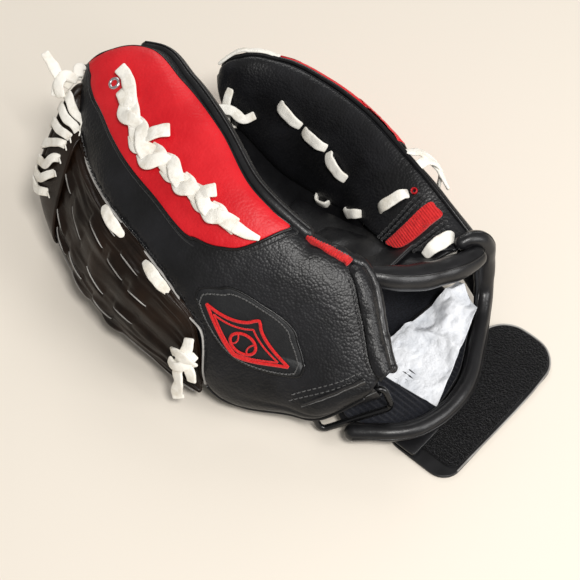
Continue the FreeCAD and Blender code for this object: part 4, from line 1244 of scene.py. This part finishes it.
def little_finger_trim():
    outline = [(-33.5, 0.10), (-36, 0.40), (-38.5, 0.66), (-42.5, 0.70), (-47, 0.64), (-44.5, 0.40), (-41, 0.12),
               (-37, 0.06)]
    points, faces = patch(PINKY_PALM, outline, 1.0, 0.4, 60, 260, 0.3)
    along = points @ unit([0.80, -0.30, 0.50])
    points = points + np.array([-0.4, 0, 0.9]) * (0.2 * np.sin(2 * pi * along / 1.2))[:, None]
    made("pinky_elastic", points, faces, ELASTIC, PINKY_BEND, "pinky_flex_insert", "red_elastic")
    rows = []
    for shift in (-6.5, -9.0, 8.5, 11.0):
        share = np.linspace(0.03, 0.70, 60)
        y = -38.5 - 8.0 * share + shift
        rows.append(stitches(PINKY_PALM.raised(y, share, 0.6), PINKY_PALM.normal(y, share), 2.7, 2.0, 0.62))
    made("pinky_insert_stitches", *joined(rows), THREAD, PINKY_BEND, (), "smooth_leather")

    def stitch(a, b, width=5.2, lift=2.6, seed=0.0):
        (y0, s0), (y1, s1) = a, b
        stops = [(y0, s0, -0.8), (y0 + (y1 - y0) * 0.18, s0 + (s1 - s0) * 0.18, lift * 0.75),
                 ((y0 + y1) / 2, (s0 + s1) / 2, lift), (y1 + (y0 - y1) * 0.18, s1 + (s0 - s1) * 0.18, lift * 0.75),
                 (y1, s1, -0.8)]
        return thong([PINKY_PALM.raised(*s) for s in stops], [width * 0.8, width, width, width * 0.8],
                     [PINKY_PALM.normal(p, q) for p, q, _ in stops], 0, 1.5, 0.6, 0.25, seed)

    made("pinky_lace_thong", *joined([stitch((54, 0.56), (38.5, 0.525), 5.6, seed=1),
                                      stitch((37, 0.52), (21.5, 0.505), 5.6, seed=2),
                                      stitch((19.5, 0.50), (4, 0.43), 5.6, seed=3)]), LACE, "little_finger",
         "pinky_lace", "lace")
    made("pinky_tip_thong", *joined([stitch((80, 0.50), (74, 0.07), 4.6, 2.4, 4),
                                     thong([PINKY_PALM.raised(64, 0.43, 0.4), PINKY_PALM.raised(67, 0.38, 3.2),
                                            (37.5, 73, 46), (31, 82.5, 44), (24, 91, 37)], [4.4, 5.2, 5.2, 5.0],
                                           [-0.6, -0.2, 0.75], [0, 10], 1.5, 0.6, 0.3, 5)]), LACE,
         ("hand", "little_finger", (24, 80, 30), (40, 80, 30)), "pinky_tip_lace", "lace")
    made("pinky_outer_thong", *joined([
        thong([(49, 91.5, 58), (56, 87, 63.5), (63.5, 77, 65.5), (67.5, 68, 64.5)],
              [2.6, 3.4, 3.4, 2.8], [0.3, 0.3, 0.9], [0, 12], 1.5, 0.6, 0.4, 11),
        thong([(66.0, -15, 58), (71, -19, 57), (73.5, -28, 51.5), (70, -38, 46.5)], [4.8, 6.0, 6.4, 5.0],
              [0.7, -0.2, 0.6], [0, 20, -14], 1.7, 0.5, 0.4, 12),
        thong([(64.5, -23, 56), (70, -24.5, 56), (73.5, -30.5, 49.5), (69.5, -33, 43.5)], [4.8, 6.2, 5.8, 4.8],
              [0.7, -0.2, 0.6], [10, -16], 1.7, 0.5, 0.4, 13)]), LACE, "little_finger", (), "lace")
    made("palm_heel_thong", *joined([thong([(34, -53.5, 43.0), (37, -54.6, 46.4), (43, -56, 47.2), (48, -57, 46.6),
                                            (50.5, -57.5, 43.5)], [4.4, 6.4, 7.0, 6.4, 4.4],
                                           [-0.3, -0.2, 0.9], 0, 1.6, 0.5, 0.3, 14)]), LACE, PINKY_BEND, (), "lace")
    made("pinky_heel_thong", *joined([stitch((18, 0.10), (9, 0.08), 5.0, 2.4, 8),
                                      stitch((-2, 0.10), (-12, 0.22), 5.0, 2.6, 6),
                                      stitch((-20, 0.38), (-28, 0.60), 5.6, 2.8, 7)]), LACE, PINKY_BEND,
         "pinky_heel_lace", "lace")


def bridge():
    """The leather between the ring finger's stall and the little finger's, and over the pocket."""
    y = np.linspace(-14, 84, 70)[:, None] * np.ones((1, 24))
    t = np.linspace(0, 1, 24)[None] * np.ones((70, 1))
    ring_stall = Panel(scaled(RING_Y, *STALLS["ring"][1:3]), scaled(RING_Y, *STALLS["ring"][3:5]),
                       (RING_Y, SPREAD), 1)
    a = ring_stall.at(np.maximum(y, -10), 0.74, -1.6)
    b = PINKY_PALM.at(y, 0.12, -1.6)
    dip = 5.5 * np.sin(pi * t) ** 1.2
    grid = a + (b - a) * t[..., None]
    grid[..., 1] = y
    grid[..., 2] -= dip - rough(grid, 0.08, 0.7)
    made("pocket_bridge_leather", *thick(grid, 1.8, up=(0, 0, 1)), SMOOTH,
         ("hand", "little_finger", (30, 20, 16), (42, 20, 16)), (), "smooth_leather")

    rows = [(-46, [(12, 45), (24, 44.5), (34, 43.5), (44, 42.5)]),
            (-36, [(10, 38.5), (20, 38.2), (30, 38), (40, 39)]),
            (-16, [(-2, 31), (12, 28.5), (24, 27.5), (37, 29)]),
            (3, [(-32, 27), (-8, 23.5), (14, 21), (38, 22.5)]),
            (16, [(-50, 21), (-20, 18.4), (10, 17.4), (40, 18.5)]),
            (28, [(-60, 15.5), (-24, 14.8), (10, 14.4), (40, 15)])]
    stations = [row[0] for row in rows]
    u = np.linspace(0, 1, 60)
    lines = np.array([smooth([0, 0.33, 0.66, 1], line, u) for _, line in rows])
    y = np.linspace(-46, 28, 70)
    place = smooth(stations, lines, y)
    grid = np.stack([place[..., 0], y[:, None] + 0 * place[..., 0], place[..., 1]], axis=-1)
    grid[..., 2] += rough(grid, 0.06, 1.4)
    made("pocket_leather", *thick(grid, 2.2, up=(0, 0, 1)), SMOOTH, "hand", (), "smooth_leather")


# ============================================================================================ strap
STRAP_BEND = ("strap", "strap_tip", (2, -104, 0.8), (18, -104, 0.8))


def strap():
    """The closing strap, pile side up, in one length over its two halves."""
    outline = rounded_box(-32.4, 57, -123, -86, 9.0, 15.0)
    made("strap_leather", *flat_line(outline, 0.0, 1.6, 0.35, None, 40, 420), SMOOTH, STRAP_BEND,
         ("strap", "strap_tip"), "smooth_leather")

    def tufts(spot):
        flat = np.column_stack([spot, spot[:, 0] * 0])
        return rough(flat, 1.6, 0.4) + rough(flat, 3.1, 0.3, 4.0)

    outline = rounded_box(-25.5, 55.6, -121.7, -87.3, 6.0, 14.0)
    made("strap_pile_fuzz", *flat_line(outline, 1.6, 1.2, 0.3, tufts, 70, 620), PILE, STRAP_BEND,
         ("strap_pile", "strap_hook"), "strap_pile", sharp=0)
    edge = curve([(-24, -122.9, 1.5), *[(x, y, 1.5) for x, y in rounded_box(-24, 57, -122.9, -86.1, 0.1, 15.0)
                                        if x > 20], (12, -86.1, 1.5)], 1.0)
    made("strap_edge", *sweep(edge, 0.45, 0.45), EDGE, STRAP_BEND, (), "smooth_leather")
    made("strap_sewn_leather", *flat_line(rounded_box(-32.4, -14, -104, -88, 1.5, 1.5), 3.4, 1.6, 0.3), SMOOTH,
         "hand", "strap_sewn_end", "smooth_leather")


def rounded_box(x0, x1, y0, y1, left, right):
    """Plan points of a box with rounded left and right corners, counter-clockwise."""
    points = []
    for cx, cy, radius, start in ((x1 - right, y0 + right, right, -90), (x1 - right, y1 - right, right, 0),
                                  (x0 + left, y1 - left, left, 90), (x0 + left, y0 + left, left, 180)):
        for k in range(9):
            a = radians(start + 90 * k / 8)
            points.append((cx + radius * cos(a), cy + radius * sin(a)))
    return np.array(points)


def flat_line(outline, level, thickness, puff=0.0, wave=None, rings=8, around=200):
    """(vertices, faces) of a flat sheet of an outline that keeps its straight sides."""
    closed = np.concatenate([outline, outline[:1]])
    along = np.concatenate([[0], np.cumsum(np.linalg.norm(np.diff(closed, axis=0), axis=1))])
    steps = np.linspace(0, along[-1], around, endpoint=False)
    line = np.column_stack([np.interp(steps, along, closed[:, k]) for k in range(2)])
    return flat_rings(line, level, thickness, puff, wave, rings)


def flat_rings(line, level, thickness, puff, wave, rings):
    centre = line.mean(axis=0)
    low, high = line.min(axis=0), line.max(axis=0)
    half = thickness / 2
    around = len(line)
    spine = np.column_stack([np.clip(line[:, 0], low[0] + (high[1] - low[1]) / 2, high[0] - (high[1] - low[1]) / 2)
                             if high[0] - low[0] > high[1] - low[1] else np.full(around, centre[0]),
                             np.full(around, centre[1])])
    loops = []
    for r in np.linspace(0, 1, rings):
        spot = spine + (line - spine) * r
        height = np.full(around, puff * (1 - r**4))
        if wave is not None and r < 0.999:
            height = height + wave(spot)
        loops.append(np.column_stack([spot, level + thickness + height]))
    away = unit(line - spine)
    for k in range(1, 6):
        loops.append(np.column_stack([line + away * half * sin(pi * k / 6) * 0.6,
                                      np.full(around, level + thickness - half * (1 - cos(pi * k / 6)))]))
    loops.append(np.column_stack([line, np.full(around, level)]))
    loops.append(np.column_stack([spine, np.full(around, level)]))
    faces = []
    for i in range(len(loops) - 1):
        for k in range(around):
            n = (k + 1) % around
            faces.append((i * around + k, (i + 1) * around + k, (i + 1) * around + n, i * around + n))
    return np.concatenate(loops), faces


# ========================================================================================= loop, tab
def tab():
    """The leather tab that comes off the wing's lower edge, goes round the loop's bar and back."""
    bar = unit(np.array([0.70, -0.60, 0.38]))
    middle = np.array([-37.5, -68.0, 19.5])
    count = 40
    t = np.linspace(0, 1, count)
    upper = smooth([0, 0.5, 1], [(-54.5, -55, 22.5), (-46.5, -63.5, 30.5), (-33, -72.5, 37.5)], t)
    lower = middle + np.outer(np.linspace(-16.5, 15.5, count), bar)
    rise = unit(upper - lower)
    rise = unit(rise - (rise @ bar)[:, None] * bar)
    face = np.cross(bar, rise)
    face = face * (1 if face[0] @ np.array([-0.5, -0.35, 0.8]) > 0 else -1)
    rows, ups = [], []
    for k in np.linspace(0, 1, 12)[:-1]:
        rows.append(upper + face * 1.2 * (1 - k) + (lower + face * 4.2 - upper) * k)
        ups.append(unit(face))
    for angle in np.linspace(0, 175, 14):
        direction = face * cos(radians(angle)) - rise * sin(radians(angle))
        rows.append(lower + direction * 4.2)
        ups.append(direction)
    for k in (2.5, 5):
        rows.append(lower - face * 4.2 + rise * k)
        ups.append(-face)
    grid = np.array(rows)
    grid = grid + np.array(ups) * rough(grid, 0.25, 0.35)[..., None]
    made("loop_tab_leather", *thick(grid, 1.3, np.array(ups)), SMOOTH, "thumb", "loop_tab", "smooth_leather")
    edges = []
    for row in (1, 8):
        edges.append(sweep(grid[row] + ups[row] * 0.1, 0.3, 0.25, ups[row], 6))
    made("loop_tab_ridges", *joined(edges), GREY_THREAD, "thumb", (), "smooth_leather")


def loop_ring():
    """The loop's rounded bar, in the place of the plain rectangular one."""
    bar = unit(np.array([0.70, -0.60, 0.38]))
    hang = np.array([0.0, -0.53, -0.85])
    hang = unit(hang - bar * (hang @ bar))
    centre = np.array([-37.5, -68.0, 19.5])
    corners = [(-17.5, 0), (17.5, 0), (17.5, 12), (-17.5, 12)]
    outline = np.array([centre + bar * u + hang * v for u, v in rounded(corners, 3.6, 7)])
    outline = np.concatenate([outline, outline[:1]])
    along = np.concatenate([[0], np.cumsum(np.linalg.norm(np.diff(outline, axis=0), axis=1))])
    steps = np.linspace(0, along[-1], 161)[:-1]
    path = np.stack([np.interp(steps, along, outline[:, k]) for k in range(3)], axis=-1)
    made("loop_ring", *loop_bar(path, 1.55, 16), LOOP, "loop", "loop", "loop_plastic")


def hidden_and_hard():
    """Materials of the CAD nodes that stay: stiffeners, linings and pad."""
    for node, material in (("thumb_stiffener", BOARD), ("pinky_stiffener", BOARD), ("palm_pad", FELT),
                           ("palm_lining", LINING), ("back_lining", RIBBED)):
        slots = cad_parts[node].material_slots
        for slot in slots:
            slot.material = material


floor()
thumb_back()
red_inlay()
thumb_roll()
flex_insert()
wing_edge()
badge()
eyelet("thumb_eyelet_ring", THUMB, 96.5, 0.535, "thumb_eyelet", "thumb")
eyelet("pinky_eyelet_ring", PINKY_PALM, -30, 0.655, "pinky_eyelet", "little_finger", LACQUER, 0.55)
thumb_lace()
thumb_inside()
web()
web_laces()
tip_knot()
crotch_knot()
finger_stalls()
palm()
heel_roll()
back_panel()
cuff()
sheet_piece = white_sheet()
wrist_roll()
little_finger()
little_finger_trim()
bridge()
strap()
tab()
loop_ring()
hidden_and_hard()
